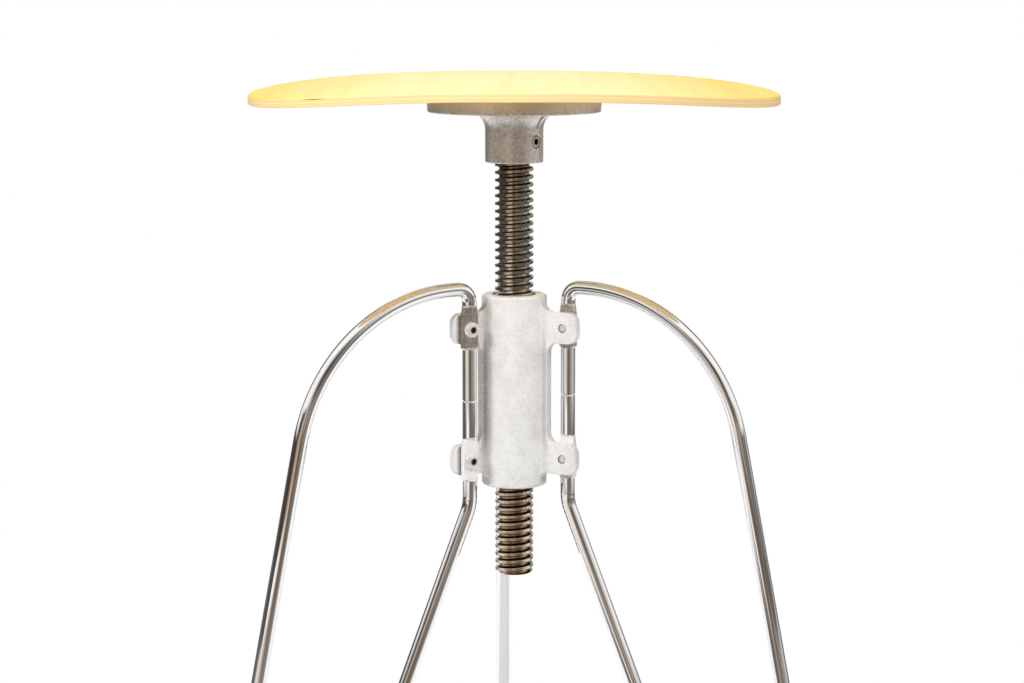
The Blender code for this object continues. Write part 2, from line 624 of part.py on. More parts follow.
def build_seat(spin):
    """Everything that turns with the seat."""
    plywood = finish("lacquered_plywood", (0.86, 0.70, 0.40), 0.35, 0.0)
    cast = finish("seat_flange_casting", (0.62, 0.61, 0.59), 0.50, 1.0)
    steel = finish("dark_spindle_steel", (0.16, 0.14, 0.12), 0.35, 1.0)
    zinc = finish("zinc_screw_steel", (0.60, 0.60, 0.60), 0.35, 1.0)
    piece("seat", make_seat(), plywood, spin)
    piece("seat_flange", make_flange(), cast, spin)
    piece("set_screw", make_set_screw(), steel, spin)
    piece("spindle", make_spindle(), steel, spin)
    screw = make_seat_screw()
    for number, spot in enumerate(seat_screw_spots(), 1):
        piece(f"seat_screw_{number}", screw, zinc, spin, spot)


def build_legs(stool):
    """Three leg loops with their screws and glides."""
    chrome = finish("chrome_plated_rod", (0.80, 0.80, 0.80), 0.08, 1.0)
    nickel = finish("nickel_screw_steel", (0.78, 0.76, 0.72), 0.20, 1.0)
    plastic = finish("black_glide_plastic", (0.03, 0.03, 0.03), 0.50, 0.0)
    loop, screw, glide = make_leg_loop(), make_leg_screw(), make_glide()
    under_head = LOOP_OFFSET + FLAT_THICKNESS / 2 + FIT_GAP
    for side, azimuth in LEGS.items():
        turn = Matrix.Rotation(azimuth, 4, 'Z')
        piece(f"leg_loop_{side}", loop, chrome, stool, turn)
        piece(f"foot_glide_{side}", glide, plastic, stool, turn)
        for level, height in (("upper", UPPER_LUG_Z), ("lower", LOWER_LUG_Z)):
            piece(f"leg_screw_{side}_{level}", screw, nickel, stool, turn @ leg_screw_spot(height, under_head))


def main():
    """Build the stool at its stored seat height."""
    for old in list(bpy.data.objects):
        bpy.data.objects.remove(old)
    stool = empty("stool_axis", location=axis_place())
    lift = empty("screw_lift", stool)
    spin = empty("seat_spin", lift)
    build_seat(spin)
    piece("spindle_pad", make_pad(), finish("white_nylon", (0.80, 0.79, 0.75), 0.6, 0.0), lift)
    piece("hub", make_hub(), finish("hub_casting", (0.80, 0.80, 0.78), 0.45, 1.0), stool)
    build_legs(stool)


main()
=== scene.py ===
"""Looks of the adjustable screw stool.

Fine meshes and finishes for the stool's solids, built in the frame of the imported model, with a pale
floor, soft studio light and the camera of the reference view. Metres, +Z up, floor at Z = 0.
"""

import json
import logging
import math
from dataclasses import dataclass, field
from enum import Enum

import bmesh
import bpy
from mathutils import Matrix, Vector


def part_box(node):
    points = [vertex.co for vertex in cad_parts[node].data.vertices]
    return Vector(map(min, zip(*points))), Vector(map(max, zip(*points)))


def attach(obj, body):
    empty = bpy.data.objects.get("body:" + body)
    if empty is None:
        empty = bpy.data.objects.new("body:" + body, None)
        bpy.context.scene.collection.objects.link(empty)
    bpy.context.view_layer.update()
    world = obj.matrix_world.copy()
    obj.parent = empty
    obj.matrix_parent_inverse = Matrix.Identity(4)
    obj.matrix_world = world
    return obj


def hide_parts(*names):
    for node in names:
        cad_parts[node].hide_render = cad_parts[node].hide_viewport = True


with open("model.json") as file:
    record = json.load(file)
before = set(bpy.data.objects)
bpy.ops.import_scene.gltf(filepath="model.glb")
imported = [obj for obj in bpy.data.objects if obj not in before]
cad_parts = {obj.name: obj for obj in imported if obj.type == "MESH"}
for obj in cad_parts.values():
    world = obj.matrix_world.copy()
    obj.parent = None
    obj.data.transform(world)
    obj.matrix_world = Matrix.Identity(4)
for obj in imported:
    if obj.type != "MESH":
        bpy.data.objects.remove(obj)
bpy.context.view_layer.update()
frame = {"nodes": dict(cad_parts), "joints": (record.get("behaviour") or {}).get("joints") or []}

LOG = logging.getLogger("stool")
MERGE_DISTANCE = 1e-7

# Numbers stored on the meshes, for the finishes to read.
PLY_DEPTH = "ply_depth"
PRESSED = "pressed"
# Share of painted shade put into the colour: on the hub's rib roots, beside its rod seats and in its screw
# holes, in screw sockets, and on the flange's rim under the seat.
PAINTED_SHADE = "hollow"
# Lower flats are marked half pressed: the rod's finish gives them a frosted, paler copy as painted light, and
# paints the upper flats darker as shade.
HALF_PRESSED = 0.5
SOCKET_SLACK = 1.01

# Straight pieces in the arc of an edge, a rim, a fillet and a corner.
EDGE_STEPS = 4
RIM_STEPS = 6
FILLET_STEPS = 8
CORNER_STEPS = 10

# Where most of a noise's values lie.
NOISE_RANGE = (0.3, 0.7)

Range = tuple[float, float]
Profile = list[Range]
Colour = tuple[float, float, float]
Size = tuple[float, float, float]


class Leg(Enum):
    """The three legs and the way each one points, in degrees from +X."""

    REAR = 90
    LEFT = 210
    RIGHT = 330

    @property
    def label(self) -> str:
        """The leg's name in the names of nodes and pieces."""
        return self.name.lower()

    @property
    def turn(self) -> Matrix:
        """Turns a piece made for a leg on +X to this leg."""
        return about_z(self.value)


class Level(Enum):
    """The two rows of lugs on the hub."""

    UPPER = "upper"
    LOWER = "lower"


class Body(Enum):
    """The stool's moving bodies that pieces ride on."""

    BASE = "base"
    SEAT = "seat_assembly"


class Slot(Enum):
    """Material slots of the record."""

    PLYWOOD = "plywood"
    FLANGE = "flange_casting"
    HUB = "hub_casting"
    SPINDLE = "spindle_steel"
    BLACK_STEEL = "black_steel"
    ZINC = "zinc_steel"
    CHROME = "chrome_rod"
    NICKEL = "nickel_steel"
    NYLON = "white_nylon"
    PLASTIC = "black_plastic"


class Join(Enum):
    """How one closed mesh is combined with another."""

    UNION = "UNION"
    CUT = "DIFFERENCE"


@dataclass(frozen=True)
class StoolFrame:
    """The stool's axis and main heights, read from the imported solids."""

    axis: Vector
    hub_base: float
    hub_top: float
    boss_base: float
    flange_top: float
    seat_top: float
    spindle_base: float
    spindle_top: float

    @classmethod
    def from_solids(cls) -> "StoolFrame":
        """Reads the frame.

        Returns:
            The axis at floor height, and the heights of the main pieces.
        """
        pivot = next(joint["pos_m"] for joint in frame["joints"] if joint["name"] == "seat_spin")
        hub_low, hub_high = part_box("hub")
        flange_low, flange_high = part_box("seat_flange")
        spindle_low, spindle_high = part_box("spindle")
        return cls(
            axis=Vector((pivot[0], pivot[1], 0)),
            hub_base=hub_low.z,
            hub_top=hub_high.z,
            boss_base=flange_low.z,
            flange_top=flange_high.z,
            seat_top=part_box("seat")[1].z,
            spindle_base=spindle_low.z,
            spindle_top=spindle_high.z,
        )

    @property
    def to_axis(self) -> Matrix:
        """Moves a piece made round the origin onto the stool's axis."""
        return Matrix.Translation(self.axis)


def about_z(degrees: float) -> Matrix:
    """Turn about Z."""
    return Matrix.Rotation(math.radians(degrees), 4, "Z")


def arc(centre: Range, radius: float, start: float, end: float, steps: int) -> Profile:
    """Points on a circular arc in a flat profile.

    Args:
        centre: Middle of the circle.
        radius: Radius of the circle.
        start: First angle in degrees.
        end: Last angle in degrees.
        steps: Number of straight pieces.

    Returns:
        The points, both ends included.
    """
    angles = [math.radians(start + (end - start) * step / steps) for step in range(steps + 1)]
    return [(centre[0] + radius * math.cos(a), centre[1] + radius * math.sin(a)) for a in angles]


def interpolated(value: float, stops: Profile) -> float:
    """Reads a number off a line through stops, held at its ends.

    Args:
        value: Where it is read.
        stops: Places in rising order, each with its number.

    Returns:
        The number.
    """
    for (low, first), (high, second) in zip(stops, stops[1:]):
        if value <= high:
            return first + (second - first) * max(0.0, (value - low) / (high - low))
    return stops[-1][1]


def turned(profile: Profile, sides: int) -> bmesh.types.BMesh:
    """Solid of revolution about Z.

    Args:
        profile: Radius and height of each corner. It starts and ends on the axis, or is a closed ring.
        sides: Number of sides round the axis.

    Returns:
        A closed mesh with its faces pointing out.
    """
    bm = bmesh.new()
    verts = [bm.verts.new((radius, 0, height)) for radius, height in profile]
    pairs = list(zip(verts, verts[1:]))
    if profile[0][0] > 0:
        pairs.append((verts[-1], verts[0]))
    edges = [bm.edges.new(pair) for pair in pairs]
    bmesh.ops.spin(bm, geom=verts + edges, cent=(0, 0, 0), axis=(0, 0, 1), angle=math.tau, steps=sides,
                   use_merge=True)
    bmesh.ops.remove_doubles(bm, verts=bm.verts, dist=MERGE_DISTANCE)
    bmesh.ops.recalc_face_normals(bm, faces=bm.faces)
    return bm


def plate(outline: Profile, thickness: float) -> bmesh.types.BMesh:
    """Flat plate in the XZ plane, centred on Y = 0.

    Args:
        outline: Corners of the plate.
        thickness: Size along Y.

    Returns:
        A closed mesh with its faces pointing out.
    """
    bm = bmesh.new()
    face = bm.faces.new([bm.verts.new((x, -thickness / 2, z)) for x, z in outline])
    grown = bmesh.ops.extrude_face_region(bm, geom=[face])["geom"]
    moved = [item for item in grown if isinstance(item, bmesh.types.BMVert)]
    bmesh.ops.translate(bm, vec=(0, thickness, 0), verts=moved)
    bmesh.ops.recalc_face_normals(bm, faces=bm.faces)
    return bm


def placed(bm: bmesh.types.BMesh, matrix: Matrix) -> bmesh.types.BMesh:
    """The mesh, moved by a matrix."""
    bmesh.ops.transform(bm, matrix=matrix, verts=bm.verts)
    return bm


def round_bar(radius: float, low: float, high: float, sides: int) -> bmesh.types.BMesh:
    """Plain cylinder about Z."""
    return turned([(0, high), (radius, high), (radius, low), (0, low)], sides)


def hex_bar(across_flats: float, low: float, high: float) -> bmesh.types.BMesh:
    """Hexagonal prism about Z, for cutting sockets."""
    return round_bar(across_flats / math.sqrt(3), low, high, 6)


def rounded(bm: bmesh.types.BMesh, edges: list[bmesh.types.BMEdge], width: float, steps: int) -> None:
    """Rounds edges over a width."""
    bmesh.ops.bevel(bm, geom=edges, offset=width, offset_type="OFFSET", segments=steps, profile=0.5,
                    affect="EDGES", material=-1, clamp_overlap=True)


def whole(bm: bmesh.types.BMesh) -> list[bmesh.types.BMVert | bmesh.types.BMEdge | bmesh.types.BMFace]:
    """Every corner, edge and face of a mesh."""
    return bm.verts[:] + bm.edges[:] + bm.faces[:]


def combined(bm: bmesh.types.BMesh, tool: bmesh.types.BMesh, join: Join) -> bmesh.types.BMesh:
    """Combines two closed meshes, using both up.

    Args:
        bm: The mesh that stays.
        tool: The mesh that is added or cut away.
        join: How they are combined.

    Returns:
        The combined mesh.
    """
    items = []
    for part in (bm, tool):
        mesh = bpy.data.meshes.new("joining")
        part.to_mesh(mesh)
        part.free()
        item = bpy.data.objects.new("joining", mesh)
        bpy.context.scene.collection.objects.link(item)
        items.append(item)
    body, other = items
    modifier = body.modifiers.new("join", "BOOLEAN")
    modifier.operation = join.value
    modifier.solver = "EXACT"
    modifier.object = other
    result = bmesh.new()
    result.from_object(body, bpy.context.evaluated_depsgraph_get())
    for item in items:
        mesh = item.data
        bpy.data.objects.remove(item)
        bpy.data.meshes.remove(mesh)
    return result


class Surface:
    """The nodes of one material, wired by short calls."""

    def __init__(self, name: str) -> None:
        """Starts from a plain Principled shader.

        Args:
            name: The material's name.
        """
        self.material = bpy.data.materials.new(name)
        self.material.use_nodes = True
        self.tree = self.material.node_tree
        self.shader = self.tree.nodes["Principled BSDF"]

    def feed(self, socket: bpy.types.NodeSocket, value: object) -> None:
        """Links a socket to another, or sets its value.

        Args:
            socket: The input.
            value: The output to link it to, or the value.
        """
        if isinstance(value, bpy.types.NodeSocket):
            self.tree.links.new(value, socket)
        else:
            socket.default_value = value

    def add(self, kind: str, inputs: dict, **settings: object) -> bpy.types.Node:
        """Adds a node.

        Args:
            kind: The node's type.
            inputs: Value or source of each input, by name or number.
            settings: The node's own properties.

        Returns:
            The node.
        """
        node = self.tree.nodes.new(kind)
        for name, value in settings.items():
            setattr(node, name, value)
        for key, value in inputs.items():
            self.feed(node.inputs[key], value)
        return node

    def finish(self, **values: object) -> None:
        """Sets the shader's sockets, named with underscores for spaces."""
        for name, value in values.items():
            if isinstance(value, tuple):
                value = (*value, 1.0)
            self.feed(self.shader.inputs[name.replace("_", " ")], value)

    def place(self, centre: Vector, size: Size = (1, 1, 1)) -> bpy.types.NodeSocket:
        """Object coordinates about a centre, stretched to a feature size on each axis.

        Args:
            centre: The place that becomes zero.
            size: The length on each axis that becomes one.

        Returns:
            The coordinates.
        """
        source = self.add("ShaderNodeTexCoord", {}).outputs["Object"]
        mapping = {"Vector": source, "Location": centre, "Scale": size}
        return self.add("ShaderNodeMapping", mapping, vector_type="TEXTURE").outputs["Vector"]

    def noise(self, vector: bpy.types.NodeSocket, scale: float, detail: float = 2.0,
              distortion: float = 0.0) -> bpy.types.NodeSocket:
        """Noise between 0 and 1."""
        inputs = {"Vector": vector, "Scale": scale, "Detail": detail, "Distortion": distortion}
        return self.add("ShaderNodeTexNoise", inputs).outputs["Fac"]

    def attribute(self, name: str) -> bpy.types.NodeSocket:
        """A number stored on the mesh."""
        return self.add("ShaderNodeAttribute", {}, attribute_name=name).outputs["Fac"]

    def math(self, operation: str, first: object, second: object = 0.0) -> bpy.types.NodeSocket:
        """One sum, product or other step."""
        return self.add("ShaderNodeMath", {0: first, 1: second}, operation=operation).outputs[0]

    def span(self, value: object, low: float, high: float, start: float = 0.0,
             end: float = 1.0) -> bpy.types.NodeSocket:
        """Carries a range of values to another range, held at its ends."""
        inputs = {"Value": value, "From Min": low, "From Max": high, "To Min": start, "To Max": end}
        return self.add("ShaderNodeMapRange", inputs).outputs["Result"]

    def blend(self, share: object, first: object, second: object) -> bpy.types.NodeSocket:
        """Colour between two colours.

        Args:
            share: How much of the second.
            first: A colour or a socket.
            second: A colour or a socket.

        Returns:
            The colour.
        """
        ends = [(*c, 1.0) if isinstance(c, tuple) else c for c in (first, second)]
        node = self.add("ShaderNodeMix", {0: share, 6: ends[0], 7: ends[1]}, data_type="RGBA")
        return node.outputs[2]

    def bump(self, height: object, depth: float, strength: float = 1.0) -> bpy.types.NodeSocket:
        """Normal raised by a height between 0 and 1, of a depth in metres."""
        inputs = {"Height": height, "Distance": depth, "Strength": strength}
        return self.add("ShaderNodeBump", inputs).outputs["Normal"]


@dataclass(frozen=True)
class Finish:
    """A finish and the record's slot that it belongs to."""

    name: str
    slot: Slot

    def material(self) -> bpy.types.Material:
        """The finish as a material, made the first time that it is asked for.

        Returns:
            The material.
        """
        made = bpy.data.materials.get(self.name)
        if made is None:
            surface = Surface(self.name)
            self.wire(surface)
            made = surface.material
        return made

    def wire(self, surface: Surface) -> None:
        """Wires the finish's nodes."""
        raise NotImplementedError


@dataclass(frozen=True)
class LacqueredPlywood(Finish):
    """Pale veneer under clear lacquer, with bare plies at the edge and a painted sheen that pales the middle
    of the top.
    """

    centre: Vector
    ply: float = 0.0012
    plies: int = 5
    glue: float = 0.07
    glue_share: float = 0.8
    sheen_middle_wood: Colour = (0.985, 0.950, 0.450)
    end_wood: Colour = (0.975, 0.700, 0.070)
    sheen_reach: Range = (0.055, 0.150)
    sheen_shift: float = -0.010
    end_share: float = 0.8
    ring_wood: Colour = (0.930, 0.640, 0.190)
    ring_count: float = 6.0
    ring_size: Size = (0.075, 0.60, 0.075)
    ring_warp: float = 0.3
    ring_soft_side: Range = (0.35, 0.93)
    ring_sharp_side: Range = (0.94, 1.0)
    ring_share: float = 0.17
    fibre_size: Size = (0.0011, 0.045, 0.0011)
    fibre_range: Range = (0.40, 0.75)
    fibre_share: float = 0.16
    fibre_depth: float = 0.00004
    streak_size: Size = (0.010, 0.30, 0.010)
    streak_range: Range = (0.35, 0.75)
    streak_share: float = 0.25
    grain_size: Size = (0.004, 0.004, 0.0004)
    grain_range: Range = (0.45, 0.8)
    grain_share: float = 0.4
    under_wood: Colour = (0.990, 0.730, 0.380)
    long_ply: Colour = (0.985, 0.750, 0.380)
    cross_ply: Colour = (0.980, 0.670, 0.310)
    glue_line: Colour = (0.930, 0.620, 0.290)
    chip: Colour = (0.420, 0.230, 0.110)
    chip_turn: float = math.radians(-135.5)
    chip_half: float = math.radians(5.5)
    chip_depth: float = 0.95
    chip_width: float = 0.42
    chip_blur: float = 0.15
    roughness: Range = (0.34, 0.46)

    def rings(self, surface: Surface) -> bpy.types.NodeSocket:
        """Growth rings: long contours along Y, each with one soft and one sharp side.

        Args:
            surface: The material that it is wired in.

        Returns:
            How dark the ring is, from 0 to 1.
        """
        cloud = surface.noise(surface.place(self.centre, self.ring_size), 1.0, detail=1.0,
                              distortion=self.ring_warp)
        within = surface.math("FRACT", surface.math("MULTIPLY", cloud, self.ring_count))
        rise = surface.span(within, *self.ring_soft_side)
        fall = surface.span(within, *self.ring_sharp_side, 1.0, 0.0)
        return surface.math("POWER", surface.math("MULTIPLY", rise, fall), 2.0)

    def chipped(self, surface: Surface, depth: bpy.types.NodeSocket) -> bpy.types.NodeSocket:
        """Share of the dark line, tapered to both ends, where the lacquer has chipped along the edge.

        Args:
            surface: The material that it is wired in.
            depth: Depth below the top face, in plies.

        Returns:
            The share, from 0 to 1.
        """
        parts = surface.add("ShaderNodeSeparateXYZ", {0: surface.place(self.centre)}).outputs
        turn = surface.math("SUBTRACT", surface.math("ARCTAN2", parts["Y"], parts["X"]), self.chip_turn)
        width = surface.span(surface.math("ABSOLUTE", turn), 0.0, self.chip_half, self.chip_width, 0.0)
        off = surface.math("ABSOLUTE", surface.math("SUBTRACT", depth, self.chip_depth))
        return surface.span(surface.math("SUBTRACT", width, off), 0.0, self.chip_blur)

    def wire(self, surface: Surface) -> None:
        """Rings and fibres along Y on the faces, a painted sheen paling the middle of the top, alternate
        plies and glue lines on the edge.

        Args:
            surface: The material that it is wired in.
        """
        fibre = surface.noise(surface.place(self.centre, self.fibre_size), 1.0, detail=3.0)
        streak = surface.noise(surface.place(self.centre, self.streak_size), 1.0, detail=3.0)
        # Painted sheen: the top is paler in its middle and fades to the wood's deeper colour at the ends.
        across = surface.add("ShaderNodeSeparateXYZ", {0: surface.place(self.centre)}).outputs["X"]
        aside = surface.math("ABSOLUTE", surface.math("SUBTRACT", across, self.sheen_shift))
        out = surface.math("MULTIPLY", surface.span(aside, *self.sheen_reach), self.end_share)
        out = surface.math("ADD", out, surface.span(streak, *self.streak_range, 0.0, self.streak_share))
        tone = surface.math("ADD", surface.math("MULTIPLY", self.rings(surface), self.ring_share),
                            surface.span(fibre, *self.fibre_range, 0.0, self.fibre_share))
        face = surface.blend(tone, surface.blend(out, self.sheen_middle_wood, self.end_wood), self.ring_wood)
        under = surface.blend(tone, self.under_wood, self.ring_wood)
        depth = surface.math("DIVIDE", surface.attribute(PLY_DEPTH), self.ply)
        face = surface.blend(surface.math("GREATER_THAN", depth, self.plies / 2), face, under)
        within = surface.math("FRACT", depth)
        odd = surface.math("MODULO", surface.math("FLOOR", depth), 2.0)
        plies = surface.blend(odd, self.long_ply, self.cross_ply)
        grain = surface.noise(surface.place(self.centre, self.grain_size), 1.0, detail=2.0)
        stained = surface.span(grain, *self.grain_range, 0.0, self.grain_share)
        plies = surface.blend(stained, plies, self.ring_wood)
        seam = surface.math("LESS_THAN", within, self.glue)
        edge = surface.blend(surface.math("MULTIPLY", seam, self.glue_share), plies, self.glue_line)
        edge = surface.blend(self.chipped(surface, depth), edge, self.chip)
        inside = surface.math("MULTIPLY", surface.math("GREATER_THAN", depth, 0.5),
                              surface.math("LESS_THAN", depth, self.plies - 0.5))
        surface.finish(
            Base_Color=surface.blend(inside, face, edge),
            Roughness=surface.span(fibre, *NOISE_RANGE, *self.roughness),
            Normal=surface.bump(fibre, self.fibre_depth),
            Specular_IOR_Level=0.05,
            Coat_Weight=0.03,
            Coat_Roughness=0.18,
        )


@dataclass(frozen=True)
class TumbledCasting(Finish):
    """Cast aluminium with a tumbled, slightly mottled skin."""

    tone: Colour = (0.93, 0.925, 0.915)
    stain: Colour = (0.55, 0.53, 0.51)
    # Tint of the painted shade where the mesh marks it; the flange's warm one paints the seat's shadow and
    # reflection.
    shade_tint: Colour = (0.22, 0.195, 0.17)
    metallic: float = 0.25
    roughness: float = 0.52
    smoother: float = 0.06
    rougher: float = 0.08
    grain: float = 0.0009
    mottle_scale: float = 75.0
    mottle_range: Range = (0.42, 0.70)
    mottle_share: float = 0.26
    speck_scale: float = 620.0
    speck_range: Range = (0.42, 0.78)
    speckle: float = 0.34
    pit_scale: float = 420.0
    pit_range: Range = (0.68, 0.75)
    pit_share: float = 0.4
    shade_patch_range: Range = (0.25, 0.6)
    shade_patch_least: float = 0.6
    relief: float = 0.00013
    relief_strength: float = 0.9

    def wire(self, surface: Surface) -> None:
        """Mottled tone with dark specks, fine pits and painted shade in patches where the mesh marks it, as
        in hollow corners.

        Args:
            surface: The material that it is wired in.
        """
        at = surface.place(Vector())
        mottle = surface.noise(at, self.mottle_scale, detail=5.0)
        skin = surface.noise(at, 1 / self.grain, detail=3.0)
        specks = surface.span(surface.noise(at, self.speck_scale, detail=4.0), *self.speck_range)
        pits = surface.span(surface.noise(at, self.pit_scale, detail=2.0), *self.pit_range)
        share = surface.span(mottle, *self.mottle_range, 0.0, self.mottle_share)
        for marks, amount in ((pits, self.pit_share), (specks, self.speckle)):
            share = surface.math("ADD", share, surface.math("MULTIPLY", marks, amount))
        rubbed = surface.blend(share, self.tone, self.stain)
        # Painted shade: the marked share, broken into patches, darkens the colour towards the shade tint.
        shade_patches = surface.span(skin, *self.shade_patch_range, self.shade_patch_least, 1.0)
        reach = surface.math("MULTIPLY", surface.attribute(PAINTED_SHADE), shade_patches)
        height = surface.math("SUBTRACT", skin, pits)
        surface.finish(
            Base_Color=surface.blend(reach, rubbed, self.shade_tint),
            Metallic=self.metallic,
            Roughness=surface.span(mottle, *NOISE_RANGE, self.roughness - self.smoother,
                                   self.roughness + self.rougher),
            Normal=surface.bump(height, self.relief, self.relief_strength),
        )


@dataclass(frozen=True)
class ThreadSteel(Finish):
    """Oiled steel: worn crests, flanks darkened with oil and painted shade, and roots lit near the hub with
    painted shade towards the boss.
    """

    axis: Vector
    root: float
    crest: float
    oiled_below: float
    dull_above: float
    oil: Colour = (0.055, 0.040, 0.030)
    steel: Colour = (0.58, 0.53, 0.48)
    brown_steel: Colour = (0.82, 0.69, 0.57)
    lit_root: Colour = (0.86, 0.78, 0.66)
    dull_root: Colour = (0.30, 0.19, 0.10)
    oiled_root: Colour = (0.46, 0.30, 0.18)
    flank_start: Range = (0.12, 0.25)
    flank_end: Range = (0.70, 0.88)
    crest_start: Range = (0.4, 0.6)
    streak_size: Size = (0.006, 0.006, 0.0012)
    streak_warp: float = 0.4
    streak_range: Range = (0.45, 0.75)
    streak_share: float = 0.5
    grain_size: Size = (0.0012, 0.0012, 0.0003)
    grain_depth: float = 0.00003
    roughness: Range = (0.07, 0.15)

    def wire(self, surface: Surface) -> None:
        """Tone by the distance from the axis, browner below the hub, with faint streaks of oil, painted shade
        in the flanks and on the roots towards the boss.

        Args:
            surface: The material that it is wired in.
        """
        at = surface.place(self.axis)
        flat = surface.add("ShaderNodeVectorMath", {0: at, 1: (1, 1, 0)}, operation="MULTIPLY")
        length = surface.add("ShaderNodeVectorMath", {0: flat.outputs["Vector"]}, operation="LENGTH")
        out = length.outputs["Value"]
        height = surface.add("ShaderNodeSeparateXYZ", {0: at}).outputs["Z"]
        rise = surface.span(out, self.root, self.crest)
        # Painted shade in the flanks, in the oil's colour.
        flank = surface.math("MULTIPLY", surface.span(rise, *self.flank_start),
                             surface.span(rise, *self.flank_end, 1.0, 0.0))
        streaks = surface.noise(surface.place(self.axis, self.streak_size), 1.0, detail=3.0,
                                distortion=self.streak_warp)
        oily = surface.span(streaks, *self.streak_range, 0.0, self.streak_share)
        dark = surface.math("MAXIMUM", flank, oily)
        brown = surface.span(height, self.oiled_below, self.oiled_below + self.crest, 1.0, 0.0)
        # Painted shade on the roots towards the boss, where the seat shades them.
        dull = surface.span(height, self.dull_above - 2 * self.crest, self.dull_above)
        roots = surface.blend(brown, surface.blend(dull, self.lit_root, self.dull_root), self.oiled_root)
        crests = surface.blend(brown, self.steel, self.brown_steel)
        clean = surface.blend(surface.span(rise, *self.crest_start), roots, crests)
        fine = surface.noise(surface.place(self.axis, self.grain_size), 1.0, detail=3.0)
        surface.finish(
            Base_Color=surface.blend(dark, clean, self.oil),
            Metallic=1.0,
            Roughness=surface.span(streaks, *NOISE_RANGE, *self.roughness),
            Normal=surface.bump(fine, self.grain_depth),
        )


@dataclass(frozen=True)
class PlatedRod(Finish):
    """Polished chrome plate, matt where the rod is pressed flat, with painted shade on the upper flats and a
    frosted, paler copy on the lower flats as painted light.
    """

    bright: Colour = (0.95, 0.945, 0.94)
    dull: Colour = (0.60, 0.52, 0.42)
    haze_scale: float = 70.0
    haze_range: Range = (0.35, 0.75)
    gloss: Range = (0.035, 0.09)
    matt: Range = (0.26, 0.38)
    grain_scale: float = 1300.0
    grain_depth: float = 0.00008
    round_grain: float = 0.02
    flat_grain: float = 0.95
    scuff_scale: float = 520.0
    scuff_range: Range = (0.40, 0.62)
    scuff_least: float = 0.55
    frosted_metallic: float = 0.2

    def wire(self, surface: Surface) -> None:
        """Near-mirror rod with faint haze, upper flats darkened with painted shade and scuffs, lower flats
        frosted paler as painted light.

        Args:
            surface: The material that it is wired in.
        """
        pressed = surface.attribute(PRESSED)
        flat = surface.span(pressed, 0.0, HALF_PRESSED)
        frosted = surface.math("MULTIPLY", surface.math("SUBTRACT", 1.0, pressed), pressed)
        most_frosted = HALF_PRESSED * (1 - HALF_PRESSED)
        at = surface.place(Vector())
        haze = surface.noise(at, self.haze_scale, detail=4.0)
        grain = surface.noise(at, self.grain_scale, detail=2.0)
        gloss = surface.span(haze, *self.haze_range, *self.gloss)
        matt = surface.span(haze, *self.haze_range, *self.matt)
        rough = surface.add("ShaderNodeMix", {0: flat, 2: gloss, 3: matt}, data_type="FLOAT").outputs[0]
        coarse = surface.math("ADD", surface.math("MULTIPLY", flat, self.flat_grain), self.round_grain)
        height = surface.math("MULTIPLY", grain, coarse)
        rub = surface.noise(at, self.scuff_scale, detail=3.0)
        scuffs = surface.span(rub, *self.scuff_range, 1.0, self.scuff_least)
        # Painted shade on the upper flats, broken by scuffs.
        flat_shade = surface.math("MULTIPLY", surface.span(pressed, HALF_PRESSED, 1.0), scuffs)
        surface.finish(
            Base_Color=surface.blend(flat_shade, self.bright, self.dull),
            Metallic=surface.span(frosted, 0.0, most_frosted, 1.0, self.frosted_metallic),
            Roughness=rough,
            Normal=surface.bump(height, self.grain_depth),
        )


@dataclass(frozen=True)
class PlatedSteel(Finish):
    """Plated or blackened steel of the small screws."""

    tone: Colour = (0.86, 0.84, 0.80)
    stain: Colour = (0.55, 0.50, 0.42)
    grime: Colour = (0.090, 0.060, 0.038)
    metallic: float = 1.0
    roughness: float = 0.28
    rougher: float = 0.14
    stain_scale: float = 260.0
    stain_range: Range = (0.45, 0.75)
    stain_share: float = 0.7
    grime_range: Range = (0.1, 0.7)
    scratch_size: Size = (0.0006, 0.004, 0.0006)
    scratch_depth: float = 0.00002

    def wire(self, surface: Surface) -> None:
        """Even tone with a light stain, fine scratches, and grime with painted shade in the socket.

        Args:
            surface: The material that it is wired in.
        """
        stain = surface.noise(surface.place(Vector()), self.stain_scale, detail=4.0)
        scratch = surface.noise(surface.place(Vector(), self.scratch_size), 1.0, detail=2.0)
        stained = surface.span(stain, *self.stain_range, 0.0, self.stain_share)
        socket_dark = surface.span(surface.attribute(PAINTED_SHADE), *self.grime_range)
        surface.finish(
            Base_Color=surface.blend(socket_dark, surface.blend(stained, self.tone, self.stain), self.grime),
            Metallic=self.metallic,
            Roughness=surface.span(stain, *NOISE_RANGE, self.roughness, self.roughness + self.rougher),
            Normal=surface.bump(scratch, self.scratch_depth),
        )


@dataclass(frozen=True)
class MouldedPlastic(Finish):
    """Plain moulded plastic with a fine spark-eroded grain."""

    tone: Colour = (0.030, 0.030, 0.032)
    rubbed: Colour = (0.075, 0.073, 0.070)
    roughness: float = 0.46
    rougher: float = 0.12
    grain_scale: float = 1900.0
    grain_depth: float = 0.00006
    patch_scale: float = 130.0
    patch_range: Range = (0.5, 0.8)

    def wire(self, surface: Surface) -> None:
        """Fine grain, with paler patches where it has rubbed.

        Args:
            surface: The material that it is wired in.
        """
        at = surface.place(Vector())
        grain = surface.noise(at, self.grain_scale, detail=2.0)
        patch = surface.noise(at, self.patch_scale, detail=3.0)
        surface.finish(
            Base_Color=surface.blend(surface.span(patch, *self.patch_range), self.tone, self.rubbed),
            Roughness=surface.span(patch, *NOISE_RANGE, self.roughness, self.roughness + self.rougher),
            Normal=surface.bump(grain, self.grain_depth),
        )


